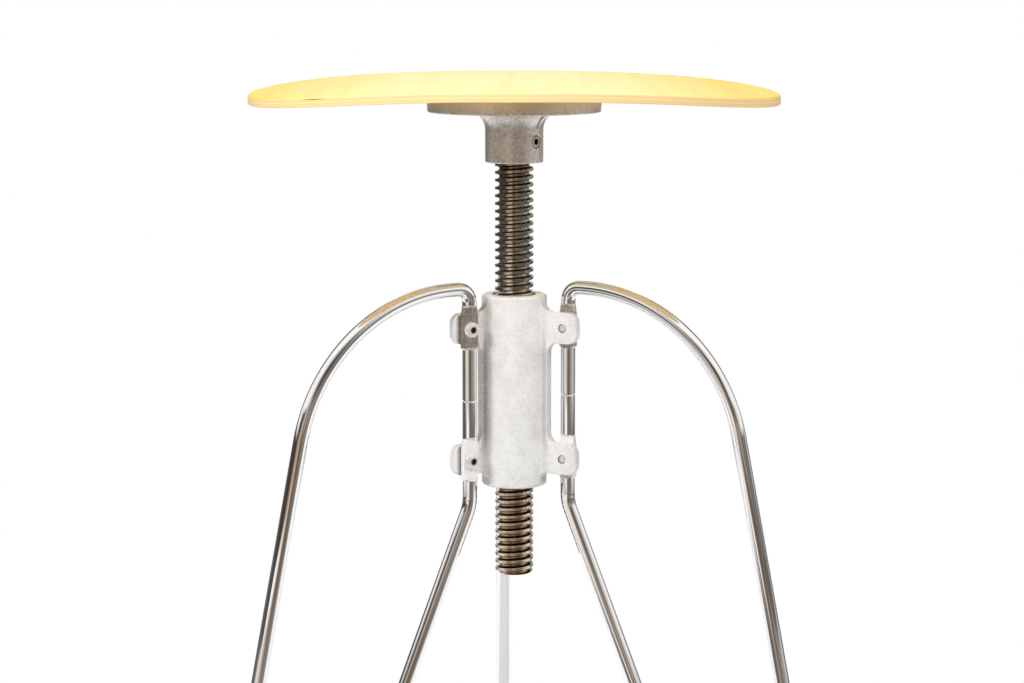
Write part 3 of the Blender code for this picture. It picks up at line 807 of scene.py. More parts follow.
@dataclass
class Piece:
    """One finished piece: its mesh, what it rides on and what it stands for."""

    name: str
    mesh: bmesh.types.BMesh
    body: Body
    node: str
    finish: Finish
    sharp_angle: float = 35.0

    def install(self, place: Matrix) -> bpy.types.Object:
        """Makes the object in its place and ties it to the frame.

        Args:
            place: Moves the mesh into the stool's frame.

        Returns:
            The object, at the origin, with its place in its mesh.
        """
        bmesh.ops.transform(self.mesh, matrix=place, verts=self.mesh.verts)
        mesh = bpy.data.meshes.new(self.name)
        self.mesh.to_mesh(mesh)
        self.mesh.free()
        mesh.shade_smooth()
        mesh.set_sharp_from_angle(angle=math.radians(self.sharp_angle))
        mesh.materials.clear()
        mesh.materials.append(self.finish.material())
        item = bpy.data.objects.new(self.name, mesh)
        bpy.context.scene.collection.objects.link(item)
        weighted = item.modifiers.new("even_normals", "WEIGHTED_NORMAL")
        weighted.keep_sharp = True
        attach(item, self.body.value)
        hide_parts(self.node)
        LOG.info("%s: %d faces, rides on %s", self.name, len(mesh.polygons), self.body.value)
        return item


@dataclass(frozen=True)
class SeatCurve:
    """How the seat drops to the left and right of a flat middle, most of all at the front."""

    flat: float = 0.0184
    radius: float = 1.46
    fade: float = 0.3100

    def drop(self, x: float, y: float) -> float:
        """Drop at a place beside the axis and in front of it or behind."""
        past = max(0.0, abs(x) - self.flat)
        return past ** 2 / (2 * self.radius) * (1 - y / self.fade)

    def apply(self, bm: bmesh.types.BMesh) -> None:
        """Lowers every corner by the drop."""
        for vert in bm.verts:
            vert.co.z -= self.drop(vert.co.x, vert.co.y)


@dataclass
class MouldedSeat:
    """Round sheet of moulded plywood, bent down to the left and right."""

    stool: StoolFrame
    curve: SeatCurve = field(default_factory=SeatCurve)
    radius: float = 0.1725
    thickness: float = 0.0060
    top_round: float = 0.0015
    under_round: float = 0.0008
    rings: int = 36
    sides: int = 192

    def build(self) -> bmesh.types.BMesh:
        """Turns the sheet, marks the depth through its plies and bends it.

        Returns:
            The seat round the origin, at its height.
        """
        top, base = self.stool.seat_top, self.stool.seat_top - self.thickness
        inner = self.radius - self.top_round
        steps = [inner * (ring + 1) / (self.rings + 1) for ring in range(self.rings)]
        profile = [(0.0, top)] + [(r, top) for r in steps]
        profile += arc((inner, top - self.top_round), self.top_round, 90, 0, RIM_STEPS)
        profile += [(self.radius, (top + base) / 2)]
        under = (self.radius - self.under_round, base + self.under_round)
        profile += arc(under, self.under_round, 0, -90, EDGE_STEPS)
        profile += [(r, base) for r in reversed(steps)] + [(0.0, base)]
        bm = turned(profile, self.sides)
        depth = bm.verts.layers.float.new(PLY_DEPTH)
        for vert in bm.verts:
            vert[depth] = top - vert.co.z
        self.curve.apply(bm)
        return bm

    def dress(self) -> None:
        """Makes the seat piece."""
        finish = LacqueredPlywood("lacquered_plywood_finish", Slot.PLYWOOD, self.stool.axis)
        Piece("plywood_seat", self.build(), Body.SEAT, "seat", finish).install(self.stool.to_axis)


def mark_socket(bm: bmesh.types.BMesh, top: float, depth: float, reach: float) -> bmesh.types.BMesh:
    """Marks how deep the corners of a socket about Z lie, for the grime and painted shade in it.

    Args:
        bm: The screw, its head towards +Z.
        top: Height of the socket's mouth.
        depth: Depth of the socket.
        reach: Largest radius of the socket.

    Returns:
        The same mesh.
    """
    hollow = bm.verts.layers.float.new(PAINTED_SHADE)
    for vert in bm.verts:
        below = (top - vert.co.z) / depth
        if vert.co.xy.length < reach and below < SOCKET_SLACK:
            vert[hollow] = max(0.0, below)
    return bm


@dataclass
class SeatFlange:
    """Cast flange with its set screw, and the four screws that hold the seat."""

    stool: StoolFrame
    radius: float = 0.0572
    rim: float = 0.0140
    rim_round: float = 0.0009
    draft: float = 0.0006
    fillet: float = 0.0116
    edge: float = 0.0010
    seat_gap: float = 0.0004
    rim_shade_rise: float = 0.0062
    head_depth: float = 0.0114
    boss_radius: float = 0.0190
    bore_radius: float = 0.0130
    bore_depth: float = 0.0326
    gap: float = 0.0003
    seam_azimuth: float = -37.0
    seam_width: float = 0.0015
    seam_height: float = 0.0008
    seam_sink: float = 0.0020
    seam_first: float = 100.0
    seam_last: float = 172.0
    screw_count: int = 4
    screw_circle: float = 0.0420
    screw_first: float = 45.0
    screw_head: float = 0.0042
    screw_shank: float = 0.0021
    screw_cone: float = 0.0026
    screw_bite: float = 0.0040
    screw_point: float = 0.0016
    recess_arm: float = 0.0024
    recess_width: float = 0.0009
    recess_depth: float = 0.0014
    set_radius: float = 0.0040
    set_rise: float = 0.0140
    set_azimuth: float = -40.0
    set_recess: float = 0.0006
    set_socket: float = 0.0040
    set_socket_depth: float = 0.0030
    set_mouth: float = 0.0006
    sides: int = 128
    small_sides: int = 40
    fillet_steps: int = 20
    seam_steps: int = 12

    @property
    def rim_base(self) -> float:
        """Height of the disc's underside."""
        return self.stool.flange_top - self.rim

    @property
    def head_base(self) -> float:
        """Height of the seat screws' heads, which lie in counterbores."""
        return self.stool.flange_top - self.head_depth

    def screw_places(self) -> list[Matrix]:
        """Where the seat screws stand round the axis.

        Returns:
            A place for each screw.
        """
        angles = [self.screw_first + 360 * i / self.screw_count for i in range(self.screw_count)]
        out = Matrix.Translation((self.screw_circle, 0, 0))
        return [about_z(angle) @ out for angle in angles]

    def set_screw_place(self) -> Matrix:
        """Points a piece made about Z out of the boss."""
        lift = Matrix.Translation((0, 0, self.stool.boss_base + self.set_rise))
        return lift @ about_z(self.set_azimuth) @ Matrix.Rotation(math.pi / 2, 4, "Y")

    def build(self) -> bmesh.types.BMesh:
        """Turned casting, drilled for its screws, with the seat's shadow and warm reflection painted on its
        rim.

        Returns:
            The flange round the origin, at its height.
        """
        top, rim = self.stool.flange_top - self.seat_gap, self.rim_base
        base, edge = self.stool.boss_base, self.edge
        lip = self.radius - self.draft - self.rim_round
        profile = [(0.0, top)] + arc((self.radius - edge, top - edge), edge, 90, 0, EDGE_STEPS)
        profile += [(self.radius - self.draft / 2, rim + self.rim_shade_rise)]
        profile += arc((lip, rim + self.rim_round), self.rim_round, 0, -90, RIM_STEPS)
        hollow_centre = (self.boss_radius + self.fillet, rim - self.fillet)
        profile += arc(hollow_centre, self.fillet, 90, 180, self.fillet_steps)
        profile += arc((self.boss_radius - edge, base + edge), edge, 0, -90, EDGE_STEPS)
        profile += [(self.bore_radius + edge / 2, base), (self.bore_radius, base + edge / 2)]
        profile += [(self.bore_radius, base + self.bore_depth), (0.0, base + self.bore_depth)]
        bm = combined(turned(profile, self.sides), self.seam(), Join.UNION)
        shank, head = self.screw_shank + self.gap, self.screw_head + self.gap
        for place in self.screw_places():
            sink = turned([(0.0, top + edge), (shank, top + edge), (shank, self.head_base + self.screw_cone),
                           (head, self.head_base), (head, rim - edge), (0.0, rim - edge)], self.small_sides)
            bm = combined(bm, placed(sink, place), Join.CUT)
        hole, mouth = self.set_radius + self.gap, self.set_mouth
        end = self.boss_radius + edge
        tapped = turned([(0.0, end), (hole + mouth + edge, end), (hole, self.boss_radius - mouth - self.gap),
                         (hole, 0.0), (0.0, 0.0)], self.small_sides)
        bm = combined(bm, placed(tapped, self.set_screw_place()), Join.CUT)
        # Painted shadow and warm reflection of the seat on the rim: full at its top, none at its foot.
        hollow = bm.verts.layers.float.new(PAINTED_SHADE)
        for vert in bm.verts:
            if vert.co.xy.length > lip:
                vert[hollow] = max(0.0, min(1.0, (vert.co.z - rim - self.rim_round) / self.rim_shade_rise))
        return bm

    def seam(self) -> bmesh.types.BMesh:
        """Low ridge that the mould's parting line left on the fillet.

        Returns:
            The ridge, sunk into the fillet.
        """
        centre = (self.boss_radius + self.fillet, self.rim_base - self.fillet)
        first, last, steps = self.seam_first, self.seam_last, self.seam_steps
        outline = arc(centre, self.fillet - self.seam_height, first, last, steps)
        outline += arc(centre, self.fillet + self.seam_sink, last, first, steps)
        return placed(plate(outline, self.seam_width), about_z(self.seam_azimuth))

    def build_set_screw(self) -> bmesh.types.BMesh:
        """Headless screw with a chamfered end and a hex socket.

        Returns:
            The screw, in its place in the boss.
        """
        tip = self.bore_radius
        end = self.boss_radius - self.set_recess
        lip = self.set_recess
        profile = [(0.0, end), (self.set_radius - lip, end), (self.set_radius, end - lip)]
        profile += [(self.set_radius, tip + lip), (self.set_radius - lip, tip), (0.0, tip)]
        socket = hex_bar(self.set_socket, end - self.set_socket_depth, end + lip)
        bm = combined(turned(profile, self.small_sides), socket, Join.CUT)
        mark_socket(bm, end, self.set_socket_depth, self.set_radius - lip)
        return placed(bm, self.set_screw_place())

    def build_seat_screw(self) -> bmesh.types.BMesh:
        """Countersunk screw, head down, with a cross recess.

        Returns:
            The screw about Z, at its height.
        """
        rim = self.head_base
        tip = self.stool.flange_top + self.gap + self.screw_bite
        shank = self.screw_shank
        bm = turned([(0.0, tip), (shank, tip - self.screw_point), (shank, rim + self.screw_cone),
                     (self.screw_head, rim), (0.0, rim)], self.small_sides)
        out, deep, half = self.recess_arm, self.recess_depth, self.recess_width / 2
        for angle in (0, 90):
            arm = plate([(-out, -deep), (out, -deep), (half, deep), (-half, deep)], self.recess_width)
            bm = combined(bm, placed(arm, Matrix.Translation((0, 0, rim)) @ about_z(angle)), Join.CUT)
        return bm

    def dress(self) -> None:
        """Makes the flange, its set screw and the seat screws."""
        to_axis = self.stool.to_axis
        # Its tone, darker and warmer than the hub's, is partly painted shade and warm reflection from the
        # seat above.
        cast = TumbledCasting("flange_casting_finish", Slot.FLANGE, tone=(0.88, 0.83, 0.78),
                              stain=(0.40, 0.36, 0.32), shade_tint=(1.00, 0.80, 0.52), metallic=0.9,
                              roughness=0.42, speckle=0.75)
        Piece("flange_body", self.build(), Body.SEAT, "seat_flange", cast).install(to_axis)
        black = PlatedSteel("black_screw_finish", Slot.BLACK_STEEL, tone=(0.66, 0.57, 0.44),
                            stain=(0.30, 0.24, 0.16))
        Piece("boss_set_screw", self.build_set_screw(), Body.SEAT, "set_screw", black).install(to_axis)
        zinc = PlatedSteel("zinc_screw_finish", Slot.ZINC, tone=(0.62, 0.62, 0.61), stain=(0.45, 0.43, 0.38))
        for number, place in enumerate(self.screw_places(), 1):
            node = f"seat_screw_{number}"
            screw = Piece(f"seat_fixing_{number}", self.build_seat_screw(), Body.SEAT, node, zinc)
            screw.install(to_axis @ place)


@dataclass
class Spindle:
    """Coarse right-hand screw with a trapezoidal thread."""

    stool: StoolFrame
    radius: float = 0.0127
    pitch: float = 0.00508
    depth: float = 0.0027
    crest: float = 0.0021
    flank: float = 0.0007
    crest_round: float = 0.00022
    root_round: float = 0.00030
    chamfer: float = 0.0014
    sides: int = 64
    turn_merge: float = 1e-6
    sharp_angle: float = 28.0

    def thread_points(self) -> Profile:
        """Radius and rise of one pitch of the thread, from crest to crest.

        Returns:
            The corners, from the bottom up.
        """
        root = self.radius - self.depth
        edge, hollow = self.crest_round, self.root_round
        valley = self.crest + self.flank
        return [
            (self.radius - edge, 0.0),
            (self.radius, edge),
            (self.radius, self.crest - edge),
            (self.radius - edge, self.crest),
            (root + hollow, valley),
            (root, valley + hollow),
            (root, self.pitch - self.flank - hollow),
            (root + hollow, self.pitch - self.flank),
        ]

    def build(self) -> bmesh.types.BMesh:
        """Spins the profile along the helix, cuts it to length and chamfers its ends.

        Returns:
            The spindle round the origin, at its height.
        """
        low, high = self.stool.spindle_base, self.stool.spindle_top
        first = math.floor((low - self.stool.hub_top) / self.pitch) - 2
        last = math.ceil((high - self.stool.hub_top) / self.pitch) + 1
        bm = bmesh.new()
        verts = []
        for turn in range(first, last):
            start = self.stool.hub_top + turn * self.pitch
            verts += [bm.verts.new((r, 0, start + rise)) for r, rise in self.thread_points()]
        edges = [bm.edges.new(pair) for pair in zip(verts, verts[1:])]
        bmesh.ops.spin(bm, geom=verts + edges, cent=(0, 0, 0), axis=(0, 0, 1), angle=math.tau,
                       dvec=(0, 0, self.pitch / self.sides), steps=self.sides)
        bmesh.ops.remove_doubles(bm, verts=bm.verts, dist=self.turn_merge)
        for height, outward in ((low, -1), (high, 1)):
            cut = bmesh.ops.bisect_plane(bm, geom=whole(bm), plane_co=(0, 0, height),
                                         plane_no=(0, 0, outward), clear_outer=True)
            rim = [item for item in cut["geom_cut"] if isinstance(item, bmesh.types.BMEdge)]
            bmesh.ops.contextual_create(bm, geom=rim)
        for vert in bm.verts:
            room = min(vert.co.z - low, high - vert.co.z)
            limit = self.radius - self.chamfer + max(room, 0.0)
            out = vert.co.xy.length
            if out > limit:
                vert.co.xy *= limit / out
        bmesh.ops.recalc_face_normals(bm, faces=bm.faces)
        return bm

    def dress(self) -> None:
        """Makes the spindle, and finishes the hidden pad above it."""
        stool = self.stool
        steel = ThreadSteel("thread_steel_finish", Slot.SPINDLE, stool.axis, root=self.radius - self.depth,
                            crest=self.radius, oiled_below=stool.hub_base, dull_above=stool.boss_base)
        screw = Piece("spindle_screw", self.build(), Body.SEAT, "spindle", steel, self.sharp_angle)
        screw.install(stool.to_axis)
        nylon = MouldedPlastic("white_nylon_finish", Slot.NYLON, tone=(0.80, 0.79, 0.75),
                               rubbed=(0.70, 0.68, 0.63))
        pad = frame["nodes"]["spindle_pad"]
        pad.data.materials.clear()
        pad.data.materials.append(nylon.material())
        LOG.info("spindle_pad: the solid itself, in white nylon")


@dataclass(frozen=True)
class LugPattern:
    """The lugs of the hub, shared by the hub, the leg loops and their screws."""

    reach: float = 0.0372
    half: float = 0.0102
    corner: float = 0.0066
    thickness: float = 0.0062
    upper_drop: float = 0.0205
    lower_rise: float = 0.0198
    flat_thickness: float = 0.0044
    gap: float = 0.0003
    screw_radius: float = 0.0025
    screw_recess: float = 0.0008

    @property
    def hole(self) -> float:
        """Radius of the screw holes."""
        return self.screw_radius + self.gap

    @property
    def loop_offset(self) -> float:
        """From the middle of a lug to the middle of its rod, along Y."""
        return self.thickness / 2 + self.gap + self.flat_thickness / 2

    @property
    def under_head(self) -> float:
        """From the middle of a lug to the underside of its screw's head, along Y."""
        return self.loop_offset + self.flat_thickness / 2 + self.gap

    def height(self, stool: StoolFrame, level: Level) -> float:
        """Height of a row's screws.

        Args:
            stool: The stool's heights.
            level: The row.

        Returns:
            The height.
        """
        if level is Level.UPPER:
            return stool.hub_top - self.upper_drop
        return stool.hub_base + self.lower_rise

    def screw_place(self, height: float, along: float) -> Matrix:
        """Turns a piece made about Z to point along Y through a lug of the leg on +X."""
        return Matrix.Translation((self.reach, along, height)) @ Matrix.Rotation(-math.pi / 2, 4, "X")


@dataclass
class HubCasting:
    """Cast sleeve with three ribs, each carrying an upper and a lower lug."""

    stool: StoolFrame
    lugs: LugPattern
    radius: float = 0.0215
    edge: float = 0.0020
    bore_radius: float = 0.0131
    mouth_radius: float = 0.0140
    mouth_depth: float = 0.0060
    rib_reach: float = 0.0264
    top_fillet: float = 0.0085
    foot_fillet: float = 0.0040
    rib_fillet: float = 0.0065
    rim_round: float = 0.0011
    root_fillet: float = 0.0035
    root_sink: float = 0.00015
    # Painted shade on the ribs: most on the left rib's root and least on the right, as the light falls; less
    # beside the lugs, a painted shadow beside each rod's seat, and painted shade in the screw holes.
    root_shade_shares: dict[Leg, float] = field(
        default_factory=lambda: {Leg.REAR: 0.8, Leg.LEFT: 1.0, Leg.RIGHT: 0.6})
    lug_shade_share: float = 0.40
    rod_shadow_half: float = 0.0062
    rod_shadow_fade: float = 0.0024
    rod_shadow_share: float = 0.90
    hole_mouth: float = 0.0003
    hole_shade_share: float = 0.60
    sides: int = 120
    small_sides: int = 40
    cut_merge: float = 1e-6
    sharp_angle: float = 40.0

    def sleeve(self) -> bmesh.types.BMesh:
        """Turned sleeve with a recessed mouth at each end.

        Returns:
            The sleeve round the origin, at its height.
        """
        low, high, edge = self.stool.hub_base, self.stool.hub_top, self.edge
        lip = edge / 4
        mouth, bore, depth = self.mouth_radius, self.bore_radius, self.mouth_depth
        profile = [(mouth, high - lip), (mouth + lip, high)]
        profile += arc((self.radius - edge, high - edge), edge, 90, 0, RIM_STEPS)
        profile += arc((self.radius - edge, low + edge), edge, 0, -90, RIM_STEPS)
        profile += [(mouth + lip, low), (mouth, low + lip), (mouth, low + depth), (bore, low + depth)]
        profile += [(bore, high - depth), (mouth, high - depth)]
        return turned(profile, self.sides)

    def lug_end(self, height: float) -> Profile:
        """Free end of a lug, from its top to its underside.

        Args:
            height: Height of the lug's middle.

        Returns:
            The end's corners.
        """
        corner = self.lugs.corner
        out, rise = self.lugs.reach + self.lugs.half - corner, self.lugs.half - corner
        upper = arc((out, height + rise), corner, 90, 0, CORNER_STEPS)
        return upper + arc((out, height - rise), corner, 0, -90, CORNER_STEPS)

    def lug_outline(self) -> Profile:
        """Rib with a rounded lug at its upper and lower end, in radius and height.

        Returns:
            The outline's corners.
        """
        inside = (self.bore_radius + self.radius) / 2
        top, foot, rib, half = self.top_fillet, self.foot_fillet, self.rib_fillet, self.lugs.half
        upper = self.lugs.height(self.stool, Level.UPPER)
        lower = self.lugs.height(self.stool, Level.LOWER)
        high, low = upper + half + top, lower - half - foot
        outline = [(inside, high)]
        outline += arc((self.radius + top, high), top, 180, 270, FILLET_STEPS)
        outline += self.lug_end(upper)
        outline += arc((self.rib_reach + rib, upper - half - rib), rib, 90, 180, FILLET_STEPS)
        outline += arc((self.rib_reach + rib, lower + half + rib), rib, 180, 270, FILLET_STEPS)
        outline += self.lug_end(lower)
        outline += arc((self.radius + foot, low), foot, 90, 180, FILLET_STEPS)
        return outline + [(inside, low)]

    def root_stations(self) -> Profile:
        """Radius and widening of a rib's side where a fillet carries it into the sleeve.

        Returns:
            The stations, from the outermost in.
        """
        half, fillet = self.lugs.thickness / 2, self.root_fillet
        seat = self.radius - self.root_sink
        middle = math.sqrt((seat + fillet) ** 2 - (half + fillet) ** 2)
        sweep = 90 - math.degrees(math.asin((half + fillet) / (seat + fillet)))
        points = arc((middle, half + fillet), fillet, 270, 270 - sweep, RIM_STEPS)
        return [(x, y - half) for x, y in points]

    def lug_plate(self) -> bmesh.types.BMesh:
        """One rib with its two lugs: rounded rims, filleted root, drilled for its screws.

        Returns:
            The rib for a leg on +X.
        """
        half = self.lugs.thickness / 2
        bm = plate(self.lug_outline(), self.lugs.thickness)
        rims = [edge for edge in bm.edges if abs(edge.verts[0].co.y - edge.verts[1].co.y) < half]
        rounded(bm, rims, self.rim_round, EDGE_STEPS)
        stations = sorted(self.root_stations())
        reach, seat = self.lugs.reach, self.rod_shadow_half
        cuts = [x for x, _ in stations]
        cuts += [reach + side * out for side in (-1, 1) for out in (seat, seat + self.rod_shadow_fade)]
        planes = [(Vector((x, 0, 0)), Vector((1, 0, 0))) for x in cuts]
        planes += [(Vector((0, 0, z)), Vector((0, 0, 1))) for z, _ in self.shade_heights()]
        for place, normal in planes:
            bmesh.ops.bisect_plane(bm, geom=whole(bm), plane_co=place, plane_no=normal, dist=self.cut_merge)
        for vert in bm.verts:
            vert.co.y += vert.co.y / half * interpolated(vert.co.x, stations)
        hole, mouth, past = self.lugs.hole, self.hole_mouth, half + self.rim_round
        wide = hole + mouth + self.rim_round
        for level in Level:
            drill = turned([(0.0, past), (wide, past), (hole, half - mouth), (hole, mouth - half),
                            (wide, -past), (0.0, -past)], self.small_sides)
            place = self.lugs.screw_place(self.lugs.height(self.stool, level), 0)
            bm = combined(bm, placed(drill, place), Join.CUT)
        return bm

    def shade_heights(self) -> Profile:
        """Heights on a rib and the share of painted shade at each, less of it beside the lugs.

        Returns:
            The heights, from the lowest up.
        """
        lower, upper = (self.lugs.height(self.stool, level) for level in (Level.LOWER, Level.UPPER))
        past = self.lugs.half + self.rib_fillet
        return [(lower, self.lug_shade_share), (lower + past, 1.0), (upper - past, 1.0), (upper, self.lug_shade_share)]

    def dull_skin(self, leg: Leg, x: float, y: float, z: float) -> float:
        """Share of painted shade at a place on a rib.

        Args:
            leg: The rib's leg.
            x: Distance out along the rib.
            y: Distance to the side of it.
            z: Height.

        Returns:
            The most of the painted shade in the root, the painted shadow beside the rod's seat and the
            painted shade in the screw holes.
        """
        half, away = self.lugs.thickness / 2, abs(x - self.lugs.reach)
        inner, outer = self.root_stations()[-1][0], self.root_stations()[0][0]
        across = [(inner, 0.0), (outer, 1.0), (self.rib_reach - self.rim_round, 1.0), (self.rib_reach, 0.0)]
        share = self.root_shade_shares[leg] * interpolated(x, across) * interpolated(z, self.shade_heights())
        if y > half - self.root_sink and x > self.rib_reach:
            seat = [(self.rod_shadow_half, self.rod_shadow_share), (self.rod_shadow_half + self.rod_shadow_fade, 0.0)]
            share = max(share, interpolated(away, seat))
        holes = [math.hypot(away, z - self.lugs.height(self.stool, level)) for level in Level]
        if abs(y) < half and min(holes) < self.lugs.hole + self.root_sink:
            share = max(share, self.hole_shade_share)
        return share

    def mark_painted_shade(self, bm: bmesh.types.BMesh) -> None:
        """Marks the painted shade on the ribs and lugs.

        Args:
            bm: The hub.
        """
        hollow = bm.verts.layers.float.new(PAINTED_SHADE)
        corner, widen = self.root_stations()[-1]
        widest = self.lugs.thickness / 2 + widen + self.root_sink
        for leg in Leg:
            back = leg.turn.inverted()
            for vert in bm.verts:
                x, y, z = back @ vert.co
                if x > corner and abs(y) < widest:
                    vert[hollow] = self.dull_skin(leg, x, y, z)

    def build(self) -> bmesh.types.BMesh:
        """Joins the ribs to the sleeve.

        Returns:
            The hub round the origin, at its height.
        """
        bm = self.sleeve()
        for leg in Leg:
            bm = combined(bm, placed(self.lug_plate(), leg.turn), Join.UNION)
        self.mark_painted_shade(bm)
        return bm

    def dress(self) -> None:
        """Makes the hub piece."""
        cast = TumbledCasting("hub_casting_finish", Slot.HUB)
        hub = Piece("hub_body", self.build(), Body.BASE, "hub", cast, self.sharp_angle)
        hub.install(self.stool.to_axis)


@dataclass(frozen=True)
class Bend:
    """One bend of a leg loop, in radius and height, with headings from +Z towards +X."""

    centre: Vector
    radius: float
    heading: float
    leaving: float

    @property
    def start(self) -> Vector:
        """Where the rod's middle line enters the bend."""
        return self.centre + Vector((-math.cos(self.heading), math.sin(self.heading))) * self.radius

    @property
    def angle(self) -> float:
        """How far the rod turns."""
        return (self.leaving - self.heading) % math.tau


class RodBender:
    """Draws a round rod along a path, ring by ring."""

    def __init__(self, radius: float, sides: int, start: Matrix) -> None:
        """Starts with a capped end.

        Args:
            radius: Radius of the end.
            sides: Number of sides of the rod.
            start: Place of the end.
        """
        self.bm = bmesh.new()
        bmesh.ops.create_circle(self.bm, cap_ends=True, radius=radius, segments=sides, matrix=start)
        self.ring = self.bm.edges[:]

    def verts(self) -> list[bmesh.types.BMVert]:
        """Corners of the rod's open end, in the same order in each run."""
        return list(dict.fromkeys(vert for edge in self.ring for vert in edge.verts))

    def centre(self) -> Vector:
        """Middle of the rod's open end."""
        verts = self.verts()
        return sum((vert.co for vert in verts), Vector()) / len(verts)

    def pull(self, target: Vector) -> None:
        """Pulls the open end straight to a point.

        Args:
            target: Where its middle goes.
        """
        offset = target - self.centre()
        grown = bmesh.ops.extrude_edge_only(self.bm, edges=self.ring)["geom"]
        moved = [item for item in grown if isinstance(item, bmesh.types.BMVert)]
        bmesh.ops.translate(self.bm, vec=offset, verts=moved)
        self.ring = [item for item in grown if isinstance(item, bmesh.types.BMEdge) and item.is_boundary]

    def swing(self, centre: Vector, angle: float, steps: int) -> None:
        """Swings the open end round an axis along Y.

        Args:
            centre: A point on the axis.
            angle: How far.
            steps: Number of straight pieces.
        """
        swung = bmesh.ops.spin(self.bm, geom=self.verts() + self.ring, cent=centre, axis=(0, 1, 0),
                               angle=angle, steps=steps)
        self.ring = [item for item in swung["geom_last"] if isinstance(item, bmesh.types.BMEdge)]

    def swell(self, factor: float) -> None:
        """Scales the open end about its middle.

        Args:
            factor: New size over old size.
        """
        middle = self.centre()
        for vert in self.verts():
            vert.co = middle + (vert.co - middle) * factor

    def press(self, widen: float, half: float, share: float) -> dict[bmesh.types.BMVert, Vector]:
        """Where a share of the press moves the open end's corners.

        Args:
            widen: Growth of the width here.
            half: Half of the full flat's thickness.
            share: How much of the thickness is pressed here.

        Returns:
            The new place of each corner.
        """
        middle = self.centre()
        moved = {}
        for vert in self.verts():
            across = vert.co - middle
            flat = max(-half, min(half, across.y))
            moved[vert] = middle + Vector((across.x * widen, across.y + (flat - across.y) * share, across.z))
        return moved

    def close(self) -> bmesh.types.BMesh:
        """Caps the open end and returns the rod.

        Returns:
            The closed mesh.
        """
        bmesh.ops.contextual_create(self.bm, geom=self.ring)
        bmesh.ops.recalc_face_normals(self.bm, faces=self.bm.faces)
        return self.bm


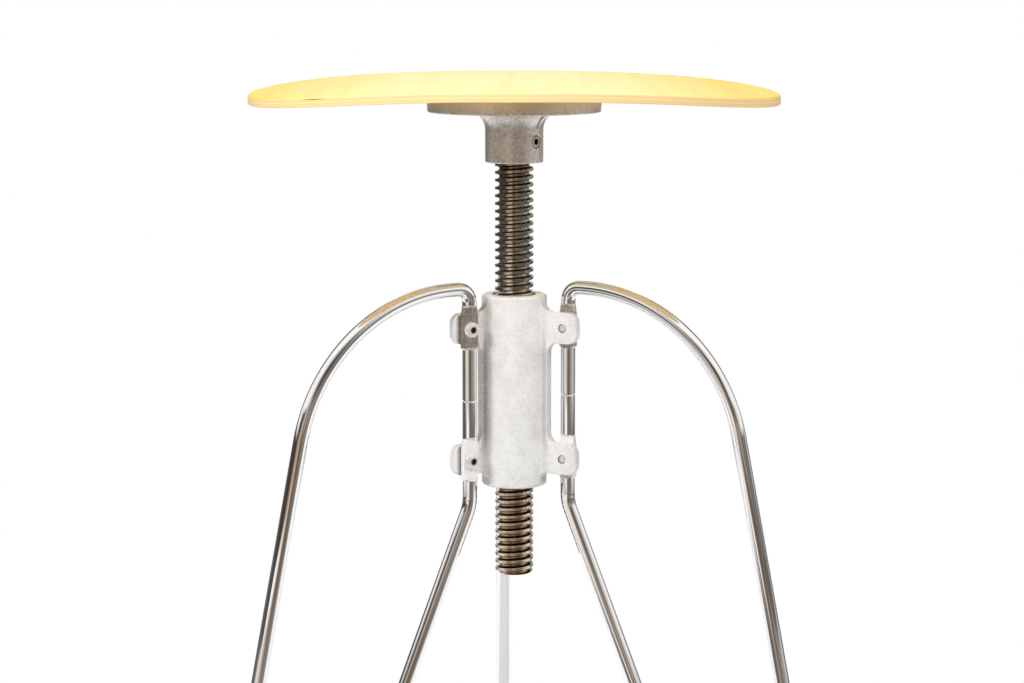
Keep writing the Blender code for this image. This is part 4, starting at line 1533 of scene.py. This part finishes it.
@dataclass
class LegLoop:
    """Closed loop of bent rod, pressed flat at the hub's lugs."""

    stool: StoolFrame
    lugs: LugPattern
    rod_radius: float = 0.00476
    arch_rise: float = 0.0062
    arch_radius: float = 0.1123
    arch_level: float = 0.0038
    top_bend: float = 0.0090
    lower_bend: float = 0.0300
    lower_bend_drop: float = 0.0234
    foot_reach: float = 0.2363
    foot_bend: float = 0.0200
    sole: float = 0.0040
    flat_width: float = 0.0120
    flat_above: float = 0.0148
    flat_below: float = 0.0120
    shoulder: float = 0.0012
    shoulder_shares: tuple[float, ...] = (0.0, 0.12, 0.5, 0.88, 1.0)
    flare: float = 0.0062
    narrowing: float = 0.85
    slack: float = 0.0001
    butt_gap: float = 0.0004
    butt_chamfer: float = 0.0005
    butt_drops: dict[Leg, float] = field(
        default_factory=lambda: {Leg.REAR: 0.0024, Leg.LEFT: 0.0037, Leg.RIGHT: 0.0012})
    sides: int = 48
    bend_step: float = math.radians(3)
    sharp_angle: float = 40.0

    def bends(self) -> list[Bend]:
        """The loop as a belt round four discs.

        Returns:
            The bends, from the one above the upper lug, over the arch and round the foot.
        """
        arch_z = self.stool.hub_top + self.arch_rise
        out = self.lugs.reach
        lower_z = self.lugs.height(self.stool, Level.LOWER) - self.lower_bend_drop
        foot_z = self.sole + self.rod_radius + self.foot_bend
        discs = [
            (Vector((out + self.top_bend, arch_z - self.top_bend)), self.top_bend),
            (Vector((out + self.top_bend + self.arch_level, arch_z - self.arch_radius)), self.arch_radius),
            (Vector((self.foot_reach, foot_z)), self.foot_bend),
            (Vector((out + self.lower_bend, lower_z)), self.lower_bend),
        ]
        headings = []
        for (centre, radius), (following, next_radius) in zip(discs, discs[1:] + discs[:1]):
            gap = following - centre
            lean = math.asin((next_radius - radius) / gap.length)
            headings.append(math.atan2(gap.x, gap.y) - lean)
        return [Bend(centre, radius, headings[i - 1], headings[i])
                for i, (centre, radius) in enumerate(discs)]

    def on_run(self, height: float) -> Vector:
        """Point on the upright run beside the hub."""
        return Vector((self.lugs.reach, self.lugs.loop_offset, height))

    def run_past_lug(self, rod: RodBender, height: float) -> None:
        """Carries the rod past a lug, pressed flat between shoulders and narrowed towards the upper one.

        Args:
            rod: The rod so far, its open end below the lug.
            height: Height of the lug's screw.
        """
        widen = self.flat_width / (2 * self.rod_radius) - 1
        half = self.lugs.flat_thickness / 2
        low, high = height - self.flat_below, height + self.flat_above
        shares = self.shoulder_shares
        steps = len(shares) - 1
        places = [(low - self.shoulder * (1 - i / steps), share, share) for i, share in enumerate(shares)]
        places += [(high - self.flare * (1 - i / steps), 1.0, 1 - i / steps * self.narrowing)
                   for i in range(steps)]
        places += [(high + self.shoulder * i / steps, share, share * (1 - self.narrowing))
                   for i, share in enumerate(reversed(shares))]
        moved = {}
        for z, pressed, spread in places:
            rod.pull(self.on_run(z))
            moved.update(rod.press(1 + widen * spread, half, pressed))
        for vert, place in moved.items():
            vert.co = place

    def mark_flats(self, bm: bmesh.types.BMesh) -> None:
        """Marks the pressed stretches beside the lugs, the lower ones half as much, which the finish makes a
        frosted, paler copy as painted light.

        Args:
            bm: The loop.
        """
        pressed = bm.verts.layers.float.new(PRESSED)
        for level, share in ((Level.UPPER, 1.0), (Level.LOWER, HALF_PRESSED)):
            height = self.lugs.height(self.stool, level)
            low, high = height - self.flat_below - self.slack, height + self.flat_above + self.slack
            for vert in bm.verts:
                if abs(vert.co.x - self.lugs.reach) < self.flat_width and low < vert.co.z < high:
                    vert[pressed] = share

    def build(self, leg: Leg) -> bmesh.types.BMesh:
        """Bends one rod from its butt joint round the foot and back.

        Args:
            leg: The leg that the loop is for.

        Returns:
            The loop, still on +X.
        """
        upper = self.lugs.height(self.stool, Level.UPPER)
        lower = self.lugs.height(self.stool, Level.LOWER)
        butt = (upper + lower) / 2 - self.butt_drops[leg]
        first, last = butt + self.butt_gap / 2, butt - self.butt_gap / 2
        full = self.rod_radius / (self.rod_radius - self.butt_chamfer)
        start = Matrix.Translation(self.on_run(first)) @ Matrix.Rotation(math.pi / self.sides, 4, "Z")
        rod = RodBender(self.rod_radius - self.butt_chamfer, self.sides, start)
        rod.pull(self.on_run(first + self.butt_chamfer))
        rod.swell(full)
        self.run_past_lug(rod, upper)
        for bend in self.bends():
            rod.pull(Vector((bend.start.x, self.lugs.loop_offset, bend.start.y)))
            steps = max(2, round(bend.angle / self.bend_step))
            rod.swing(Vector((bend.centre.x, self.lugs.loop_offset, bend.centre.y)), bend.angle, steps)
        self.run_past_lug(rod, lower)
        rod.pull(self.on_run(last - self.butt_chamfer))
        rod.pull(self.on_run(last))
        rod.swell(1 / full)
        bm = rod.close()
        for height in (upper, lower):
            drill = round_bar(self.lugs.hole, -self.flat_width, self.flat_width, self.sides)
            bm = combined(bm, placed(drill, self.lugs.screw_place(height, self.lugs.loop_offset)), Join.CUT)
        self.mark_flats(bm)
        return bm

    def dress(self) -> None:
        """Makes the three loops."""
        chrome = PlatedRod("chrome_rod_finish", Slot.CHROME)
        for leg in Leg:
            loop = Piece(f"{leg.label}_rod_loop", self.build(leg), Body.BASE, f"leg_loop_{leg.label}", chrome,
                         self.sharp_angle)
            loop.install(self.stool.to_axis @ leg.turn)


@dataclass
class LegScrew:
    """Button-head screw with a hex socket, its end just inside the lug's far face."""

    stool: StoolFrame
    lugs: LugPattern
    head_radius: float = 0.00525
    head_height: float = 0.0033
    crown: float = 0.0030
    rim: float = 0.0007
    socket: float = 0.0040
    socket_depth: float = 0.0024
    socket_mouth: float = 0.0003
    tip_chamfer: float = 0.0004
    sides: int = 48

    def build(self) -> bmesh.types.BMesh:
        """Turned screw with its underside at Z = 0 and its socket cut from above.

        Returns:
            The screw about Z.
        """
        length = self.lugs.under_head + self.lugs.thickness / 2 - self.lugs.screw_recess
        top, shank, tip = self.head_height, self.lugs.screw_radius, self.tip_chamfer
        slope, dome = self.head_radius - self.crown, top - self.rim
        profile = [(0.0, top)]
        quarter = arc((0, 0), 1, 90, 0, CORNER_STEPS)
        profile += [(self.crown + slope * x, self.rim + dome * z) for x, z in quarter]
        profile += [(self.head_radius, self.rim / 3), (self.head_radius - self.rim / 3, 0.0), (shank, 0.0)]
        profile += [(shank, tip - length), (shank - tip, -length), (0.0, -length)]
        mouth = self.socket / math.sqrt(3)
        cone = turned([(0.0, top + tip), (mouth + tip, top + tip), (mouth, top - self.socket_mouth),
                       (0.0, top - self.socket_mouth)], self.sides)
        bm = combined(turned(profile, self.sides), cone, Join.CUT)
        bm = combined(bm, hex_bar(self.socket, top - self.socket_depth, top + tip), Join.CUT)
        return mark_socket(bm, top, self.socket_depth, self.crown)

    def dress(self) -> None:
        """Makes the two screws of each leg."""
        nickel = PlatedSteel("nickel_screw_finish", Slot.NICKEL, tone=(0.92, 0.90, 0.86),
                             stain=(0.66, 0.61, 0.53), metallic=0.6)
        for leg in Leg:
            for level in Level:
                place = self.lugs.screw_place(self.lugs.height(self.stool, level), self.lugs.under_head)
                row = f"{leg.label}_{level.value}"
                screw = Piece(f"{row}_button_screw", self.build(), Body.BASE, f"leg_screw_{row}", nickel)
                screw.install(self.stool.to_axis @ leg.turn @ place)


@dataclass
class FootGlide:
    """Moulded clip round a foot bend, with a flat round sole."""

    stool: StoolFrame
    loop: LegLoop
    gap: float = 0.0005
    wall: float = 0.0022
    pad_radius: float = 0.0085
    pad_height: float = 0.0034
    half_angle: float = math.radians(35)
    mouth: float = 100.0
    edge: float = 0.0005
    edge_steps: int = 3
    sharp_corner: float = math.radians(45)
    clip_steps: int = 26
    sweep_steps: int = 18
    sides: int = 48

    def build(self) -> bmesh.types.BMesh:
        """Sweeps the clip round the bend and joins its sole.

        Returns:
            The glide for a leg on +X.
        """
        inner = self.loop.rod_radius + self.gap
        first, last = 90 + self.mouth / 2, 90 + 360 - self.mouth / 2
        section = arc((0, 0), inner + self.wall, first, last, self.clip_steps)
        section += arc((0, 0), inner, last, first, self.clip_steps)
        offset = self.loop.lugs.loop_offset
        rod_z = self.loop.sole + self.loop.rod_radius
        centre = Vector((self.loop.foot_reach, offset, rod_z + self.loop.foot_bend))
        bm = bmesh.new()
        ring = [bm.verts.new((self.loop.foot_reach, offset + y, rod_z + z)) for y, z in section]
        face = bm.faces.new(ring)
        bmesh.ops.rotate(bm, cent=centre, matrix=Matrix.Rotation(-self.half_angle, 3, "Y"), verts=ring)
        bmesh.ops.spin(bm, geom=[face], cent=centre, axis=(0, 1, 0), angle=2 * self.half_angle,
                       steps=self.sweep_steps)
        bmesh.ops.remove_doubles(bm, verts=bm.verts, dist=MERGE_DISTANCE)
        bmesh.ops.recalc_face_normals(bm, faces=bm.faces)
        corners = [edge for edge in bm.edges if edge.calc_face_angle(0.0) > self.sharp_corner]
        rounded(bm, corners, self.edge, self.edge_steps)
        profile = [(0.0, self.pad_height), (self.pad_radius, self.pad_height)]
        profile += arc((self.pad_radius - self.edge, self.edge), self.edge, 0, -90, EDGE_STEPS)
        sole = turned(profile + [(0.0, 0.0)], self.sides)
        sole = placed(sole, Matrix.Translation((self.loop.foot_reach, offset, 0)))
        return combined(bm, sole, Join.UNION)

    def dress(self) -> None:
        """Makes the three glides."""
        plastic = MouldedPlastic("black_plastic_finish", Slot.PLASTIC)
        for leg in Leg:
            glide = Piece(f"{leg.label}_glide", self.build(), Body.BASE, f"foot_glide_{leg.label}", plastic)
            glide.install(self.stool.to_axis @ leg.turn)


@dataclass(frozen=True)
class Band:
    """Painted reflection tones round the horizon, and the heights where they set in and are full.

    Each stop is an angle from the camera's side in degrees, a level and a warmth.
    """

    start: float
    full: float
    stops: tuple[tuple[float, float, float], ...]
    green_loss: float = 0.32
    blue_loss: float = 0.58

    def colour(self, level: float, warmth: float) -> tuple[float, float, float, float]:
        """Grey of a level, turned to brown by its warmth."""
        return (level, level * (1 - self.green_loss * warmth), level * (1 - self.blue_loss * warmth), 1.0)

    def ramp(self, surface: Surface, turn: bpy.types.NodeSocket) -> bpy.types.NodeSocket:
        """Colour ramp round the ring.

        Args:
            surface: The material that it is wired in.
            turn: Place round the ring, from 0 to 1.

        Returns:
            The colour.
        """
        node = surface.add("ShaderNodeValToRGB", {0: turn})
        elements = node.color_ramp.elements
        for index, (degrees, level, warmth) in enumerate(self.stops):
            place = degrees / 360 + 0.5
            element = elements[index] if index < 1 else elements.new(place)
            element.position = place
            element.color = self.colour(level, warmth)
        elements.remove(elements[-1])
        return node.outputs["Color"]


@dataclass(frozen=True)
class PaintedReflections:
    """Painted reflections for the metal: the floor's outskirts, then bands round the horizon from the floor
    up.
    """

    skirt: Band = Band(-0.010, 0.000, (
        (-112, 1.00, 0.00), (-84, 1.00, 0.00), (-74, 0.75, 0.05), (-65, 0.18, 0.15), (-53, 0.12, 0.15),
        (-36, 0.14, 0.15), (-20, 0.20, 0.20), (-5, 0.50, 0.20), (10, 0.30, 0.30), (25, 0.22, 0.20),
        (40, 0.20, 0.15), (52, 0.30, 0.10), (62, 0.85, 0.00), (72, 1.00, 0.00), (104, 1.00, 0.00)))
    floor_edge: Band = Band(0.020, 0.050, (
        (-150, 0.30, 0.10), (-118, 0.30, 0.10), (-106, 1.00, 0.00), (-64, 1.00, 0.00), (-52, 0.70, 0.05),
        (-42, 0.20, 0.25), (-30, 0.16, 0.40), (-18, 0.24, 0.40), (-5, 0.45, 0.30), (10, 0.25, 0.40),
        (25, 0.20, 0.30), (40, 0.22, 0.20), (50, 0.34, 0.10), (60, 0.85, 0.00), (70, 1.00, 0.00),
        (106, 1.00, 0.00), (118, 0.30, 0.10)))
    low_reflection_strips: Band = Band(0.170, 0.200, (
        (-150, 0.15, 0.20), (-70, 0.08, 0.30), (-53, 0.15, 0.30), (-48, 1.00, 0.05), (-18, 0.95, 0.05),
        (-8, 0.30, 0.60), (6, 0.20, 0.80), (20, 0.16, 0.60), (45, 0.18, 0.40), (70, 0.14, 0.20),
        (120, 0.15, 0.10), (150, 0.15, 0.10)))
    uprights: Band = Band(0.260, 0.300, (
        (-150, 0.22, 0.10), (-120, 0.18, 0.10), (-95, 0.10, 0.15), (-73, 0.18, 0.15), (-54, 0.72, 0.08),
        (-36, 0.75, 0.20), (-20, 0.50, 0.60), (-4, 0.18, 1.00), (12, 0.13, 1.00), (28, 0.26, 0.35),
        (45, 0.28, 0.20), (63, 0.34, 0.15), (83, 0.60, 0.08), (107, 0.25, 0.10), (140, 0.20, 0.10)))
    reflection_strips: Band = Band(0.385, 0.410, (
        (-150, 0.12, 0.20), (-70, 0.07, 0.30), (-53, 0.12, 0.30), (-48, 1.00, 0.05), (-24, 0.95, 0.10),
        (-14, 0.45, 0.60), (-4, 0.14, 0.80), (20, 0.12, 0.60), (33, 0.16, 0.30), (70, 0.10, 0.20),
        (95, 0.30, 0.05), (120, 0.15, 0.10), (150, 0.15, 0.10)))
    level: Band = Band(0.475, 0.500, (
        (-150, 0.08, 0.30), (-119, 0.070, 0.30), (-93, 0.065, 0.30), (-72, 0.038, 0.30), (-54, 0.055, 0.30),
        (-37, 0.34, 0.90), (-20, 0.62, 1.00), (-5, 0.13, 0.90), (11, 0.42, 0.50), (27, 0.25, 0.30),
        (44, 0.11, 0.20), (56, 0.24, 0.15), (68, 0.14, 0.15), (80, 0.14, 0.10), (96, 0.55, 0.05),
        (150, 0.30, 0.10)))
    high: Band = Band(0.620, 0.720, (
        (-150, 0.15, 0.25), (-126, 0.15, 0.25), (-108, 0.90, 0.00), (-85, 0.88, 0.03), (-74, 0.60, 0.08),
        (-62, 0.10, 0.15), (-50, 0.06, 0.15), (-38, 0.12, 0.20), (-28, 0.36, 0.25), (-19, 0.60, 0.25),
        (-8, 0.24, 0.35), (2, 0.14, 0.40), (14, 0.10, 0.40), (26, 0.17, 0.30), (37, 0.36, 0.15),
        (50, 0.66, 0.08), (62, 0.80, 0.05), (76, 0.92, 0.00), (108, 0.90, 0.00), (126, 0.15, 0.25),
        (150, 0.15, 0.25)))
    behind_camera: Band = Band(0.920, 1.020, (
        (-150, 0.15, 0.25), (-126, 0.15, 0.25), (-108, 0.90, 0.00), (-60, 0.95, 0.00), (-36, 0.85, 0.05),
        (-24, 0.40, 0.40), (-11, 0.11, 0.40), (0, 0.07, 0.40), (12, 0.08, 0.40), (22, 0.14, 0.30),
        (32, 0.55, 0.10), (44, 0.85, 0.05), (60, 0.92, 0.00), (108, 0.90, 0.00), (126, 0.15, 0.25),
        (150, 0.15, 0.25)))
    overhead: Band = Band(1.330, 1.480, (
        (-150, 0.15, 0.25), (-128, 0.20, 0.25), (-110, 0.95, 0.00), (-45, 0.95, 0.00), (-24, 0.60, 0.10),
        (0, 0.45, 0.10), (14, 0.45, 0.10), (30, 0.75, 0.05), (45, 0.95, 0.00), (110, 0.95, 0.00),
        (128, 0.20, 0.25), (150, 0.15, 0.25)))

    @property
    def bands(self) -> tuple[Band, ...]:
        """The bands, each laid over the ones below it."""
        return (self.skirt, self.floor_edge, self.low_reflection_strips, self.uprights, self.reflection_strips, self.level,
                self.high, self.behind_camera, self.overhead)

    def tone(self, surface: Surface, axis: Vector) -> bpy.types.NodeSocket:
        """Colour by the angle round the axis and the height.

        Args:
            surface: The material that it is wired in.
            axis: Middle of the ring, at floor height.

        Returns:
            The colour.
        """
        parts = surface.add("ShaderNodeSeparateXYZ", {0: surface.place(axis)}).outputs
        angle = surface.math("ARCTAN2", parts["X"], surface.math("MULTIPLY", parts["Y"], -1.0))
        turn = surface.math("ADD", surface.math("DIVIDE", angle, math.tau), 0.5)
        tone = (1.0, 1.0, 1.0)
        for band in self.bands:
            share = surface.span(parts["Z"], band.start, band.full)
            tone = surface.blend(share, tone, band.ramp(surface, turn))
        return tone


@dataclass
class Studio:
    """White room with two softboxes, a top light and a glowing ring of painted reflections, no lamp, for the
    metal to reflect.
    """

    stool: StoolFrame
    paintedreflections: PaintedReflections = field(default_factory=PaintedReflections)
    ambient: float = 0.18
    floor_radius: float = 9.0
    floor_colour: float = 0.88
    fade_start: float = 0.45
    fade_end: float = 1.00
    ring_radius: float = 1.3
    skirt_radius: float = 0.50
    skirt_height: float = 0.004
    ring_low: float = 0.02
    ring_high: float = 1.9
    ring_half: float = math.radians(160)
    box_distance: float = 1.75
    box_height: float = 1.55
    box_size: float = 0.66
    left_turn: float = math.radians(-42)
    left_power: float = 31.0
    right_turn: float = math.radians(52)
    right_power: float = 18.0
    top_height: float = 2.3
    top_size: float = 1.2
    top_power: float = 9.0
    sides: int = 96

    def background_rays(self, tree: bpy.types.NodeTree) -> bpy.types.NodeSocket:
        """One for the rays that look at the background: camera, glossy and transmission.

        Args:
            tree: The nodes that it is wired in.

        Returns:
            One or zero.
        """
        path = tree.nodes.new("ShaderNodeLightPath")
        total = path.outputs["Is Camera Ray"]
        for name in ("Is Glossy Ray", "Is Transmission Ray"):
            step = tree.nodes.new("ShaderNodeMath")
            step.operation = "MAXIMUM"
            tree.links.new(total, step.inputs[0])
            tree.links.new(path.outputs[name], step.inputs[1])
            total = step.outputs[0]
        return total

    def world(self) -> None:
        """White surroundings: full white to look at, dimmer as light."""
        world = bpy.data.worlds.new("white_room")
        world.use_nodes = True
        tree = world.node_tree
        background = tree.nodes["Background"]
        background.inputs["Color"].default_value = (1, 1, 1, 1)
        strength = tree.nodes.new("ShaderNodeMapRange")
        tree.links.new(self.background_rays(tree), strength.inputs["Value"])
        strength.inputs["To Min"].default_value = self.ambient
        strength.inputs["To Max"].default_value = 1.0
        tree.links.new(strength.outputs["Result"], background.inputs["Strength"])
        bpy.context.scene.world = world

    def stand(self, name: str, bm: bmesh.types.BMesh, surface: Surface) -> bpy.types.Object:
        """Makes a piece of the room, which is no part of the stool.

        Args:
            name: The object's name.
            bm: Its mesh, which is used up.
            surface: Its material.

        Returns:
            The object.
        """
        mesh = bpy.data.meshes.new(name)
        bm.to_mesh(mesh)
        bm.free()
        mesh.materials.append(surface.material)
        item = bpy.data.objects.new(name, mesh)
        bpy.context.scene.collection.objects.link(item)
        return item

    def floor(self) -> None:
        """Pale floor that keeps the stool's shadow and fades to white further out."""
        bm = bmesh.new()
        bmesh.ops.create_circle(bm, cap_ends=True, radius=self.floor_radius, segments=self.sides,
                                matrix=self.stool.to_axis)
        surface = Surface("pale_floor_finish")
        tone = self.floor_colour
        surface.finish(Base_Color=(tone, tone, tone), Roughness=1.0, Specular_IOR_Level=0.0)
        out = surface.add("ShaderNodeVectorMath", {0: surface.place(self.stool.axis)}, operation="LENGTH")
        share = surface.span(out.outputs["Value"], self.fade_start, self.fade_end)
        share = surface.math("MULTIPLY", share, self.background_rays(surface.tree))
        glow = surface.add("ShaderNodeEmission", {"Color": (1, 1, 1, 1), "Strength": 1.0}).outputs["Emission"]
        mix = surface.add("ShaderNodeMixShader", {0: share, 1: surface.shader.outputs["BSDF"], 2: glow})
        surface.feed(surface.tree.nodes["Material Output"].inputs["Surface"], mix.outputs["Shader"])
        self.stand("pale_floor", bm, surface)

    def ring(self) -> None:
        """Glowing ring of painted reflections, no lamp, with a skirt on the floor, that only reflections see.
        """
        bm = bmesh.new()
        start = Vector((-math.sin(self.ring_half), -math.cos(self.ring_half), 0))
        profile = [(self.skirt_radius, self.skirt_height), (self.ring_radius, self.ring_low),
                   (self.ring_radius, self.ring_high)]
        verts = [bm.verts.new(start * out + Vector((0, 0, z))) for out, z in profile]
        edges = [bm.edges.new(pair) for pair in zip(verts, verts[1:])]
        bmesh.ops.spin(bm, geom=verts + edges, cent=(0, 0, 0), axis=(0, 0, 1), angle=2 * self.ring_half,
                       steps=self.sides)
        bmesh.ops.transform(bm, matrix=self.stool.to_axis, verts=bm.verts)
        surface = Surface("painted_reflection_ring_finish")
        tone = self.paintedreflections.tone(surface, self.stool.axis)
        glow = surface.add("ShaderNodeEmission", {"Color": tone, "Strength": 1.0})
        surface.feed(surface.tree.nodes["Material Output"].inputs["Surface"], glow.outputs["Emission"])
        ring = self.stand("painted_reflection_ring", bm, surface)
        ring.visible_camera = False
        ring.visible_diffuse = False
        ring.visible_shadow = False

    def softbox(self, name: str, place: Vector, size: float, power: float) -> None:
        """Square soft light aimed at the hub.

        Args:
            name: The light's name.
            place: Its place from the foot of the axis.
            size: Its width.
            power: Its power in watts.
        """
        light = bpy.data.lights.new(name, "AREA")
        light.size = size
        light.energy = power
        lamp = bpy.data.objects.new(name, light)
        lamp.location = self.stool.axis + place
        aim = self.stool.axis + Vector((0, 0, self.stool.hub_top)) - lamp.location
        lamp.rotation_euler = aim.to_track_quat("-Z", "Y").to_euler()
        lamp.visible_glossy = False
        bpy.context.scene.collection.objects.link(lamp)

    def box_place(self, turn: float) -> Vector:
        """Place of a softbox at an angle from the camera's side."""
        out = self.box_distance
        return Vector((math.sin(turn) * out, -math.cos(turn) * out, self.box_height))

    def build(self) -> None:
        """Sets up the room."""
        self.world()
        self.floor()
        self.ring()
        self.softbox("left_softbox", self.box_place(self.left_turn), self.box_size, self.left_power)
        self.softbox("right_softbox", self.box_place(self.right_turn), self.box_size, self.right_power)
        self.softbox("top_light", Vector((0, 0, self.top_height)), self.top_size, self.top_power)
        bpy.context.scene.view_settings.view_transform = "Standard"
        LOG.info("studio: floor, ring of surroundings, two softboxes and a top light")


@dataclass
class ReferenceCamera:
    """Camera of the reference view, for an image of 1024 by 683 pixels."""

    stool: StoolFrame
    image_width: float = 1024
    focal_pixels: float = 2500
    sensor: float = 36.0
    pitch: float = math.radians(8.32)
    azimuth: float = math.radians(-90.9)
    distance: float = 1.649
    aim_height: float = 0.5486
    axis_column: float = 514.2

    def build(self) -> None:
        """Places the camera with the stool's axis on its column of the image."""
        data = bpy.data.cameras.new("reference_camera")
        data.sensor_width = self.sensor
        data.lens = self.focal_pixels / self.image_width * self.sensor
        camera = bpy.data.objects.new("reference_camera", data)
        level = Vector((math.cos(self.azimuth), math.sin(self.azimuth), 0)) * math.cos(self.pitch)
        back = level + Vector((0, 0, math.sin(self.pitch)))
        right = Vector((-math.sin(self.azimuth), math.cos(self.azimuth), 0))
        aside = (self.image_width / 2 - self.axis_column) / self.focal_pixels * self.distance
        aim = self.stool.axis + Vector((0, 0, self.aim_height)) + right * aside
        camera.location = aim + back * self.distance
        camera.rotation_euler = (-back).to_track_quat("-Z", "Y").to_euler()
        bpy.context.scene.collection.objects.link(camera)
        bpy.context.scene.camera = camera
        LOG.info("camera: %.1f mm lens, %.3f m from the axis", data.lens, self.distance)


def main() -> None:
    """Builds the stool's pieces in order, then the room and the camera."""
    logging.basicConfig(level=logging.INFO, format="%(name)s: %(message)s")
    stool = StoolFrame.from_solids()
    lugs = LugPattern()
    loop = LegLoop(stool, lugs)
    for part in (MouldedSeat(stool), SeatFlange(stool), Spindle(stool), HubCasting(stool, lugs), loop,
                 LegScrew(stool, lugs), FootGlide(stool, loop)):
        part.dress()
    Studio(stool).build()
    ReferenceCamera(stool).build()


if __name__ == "__main__":
    main()
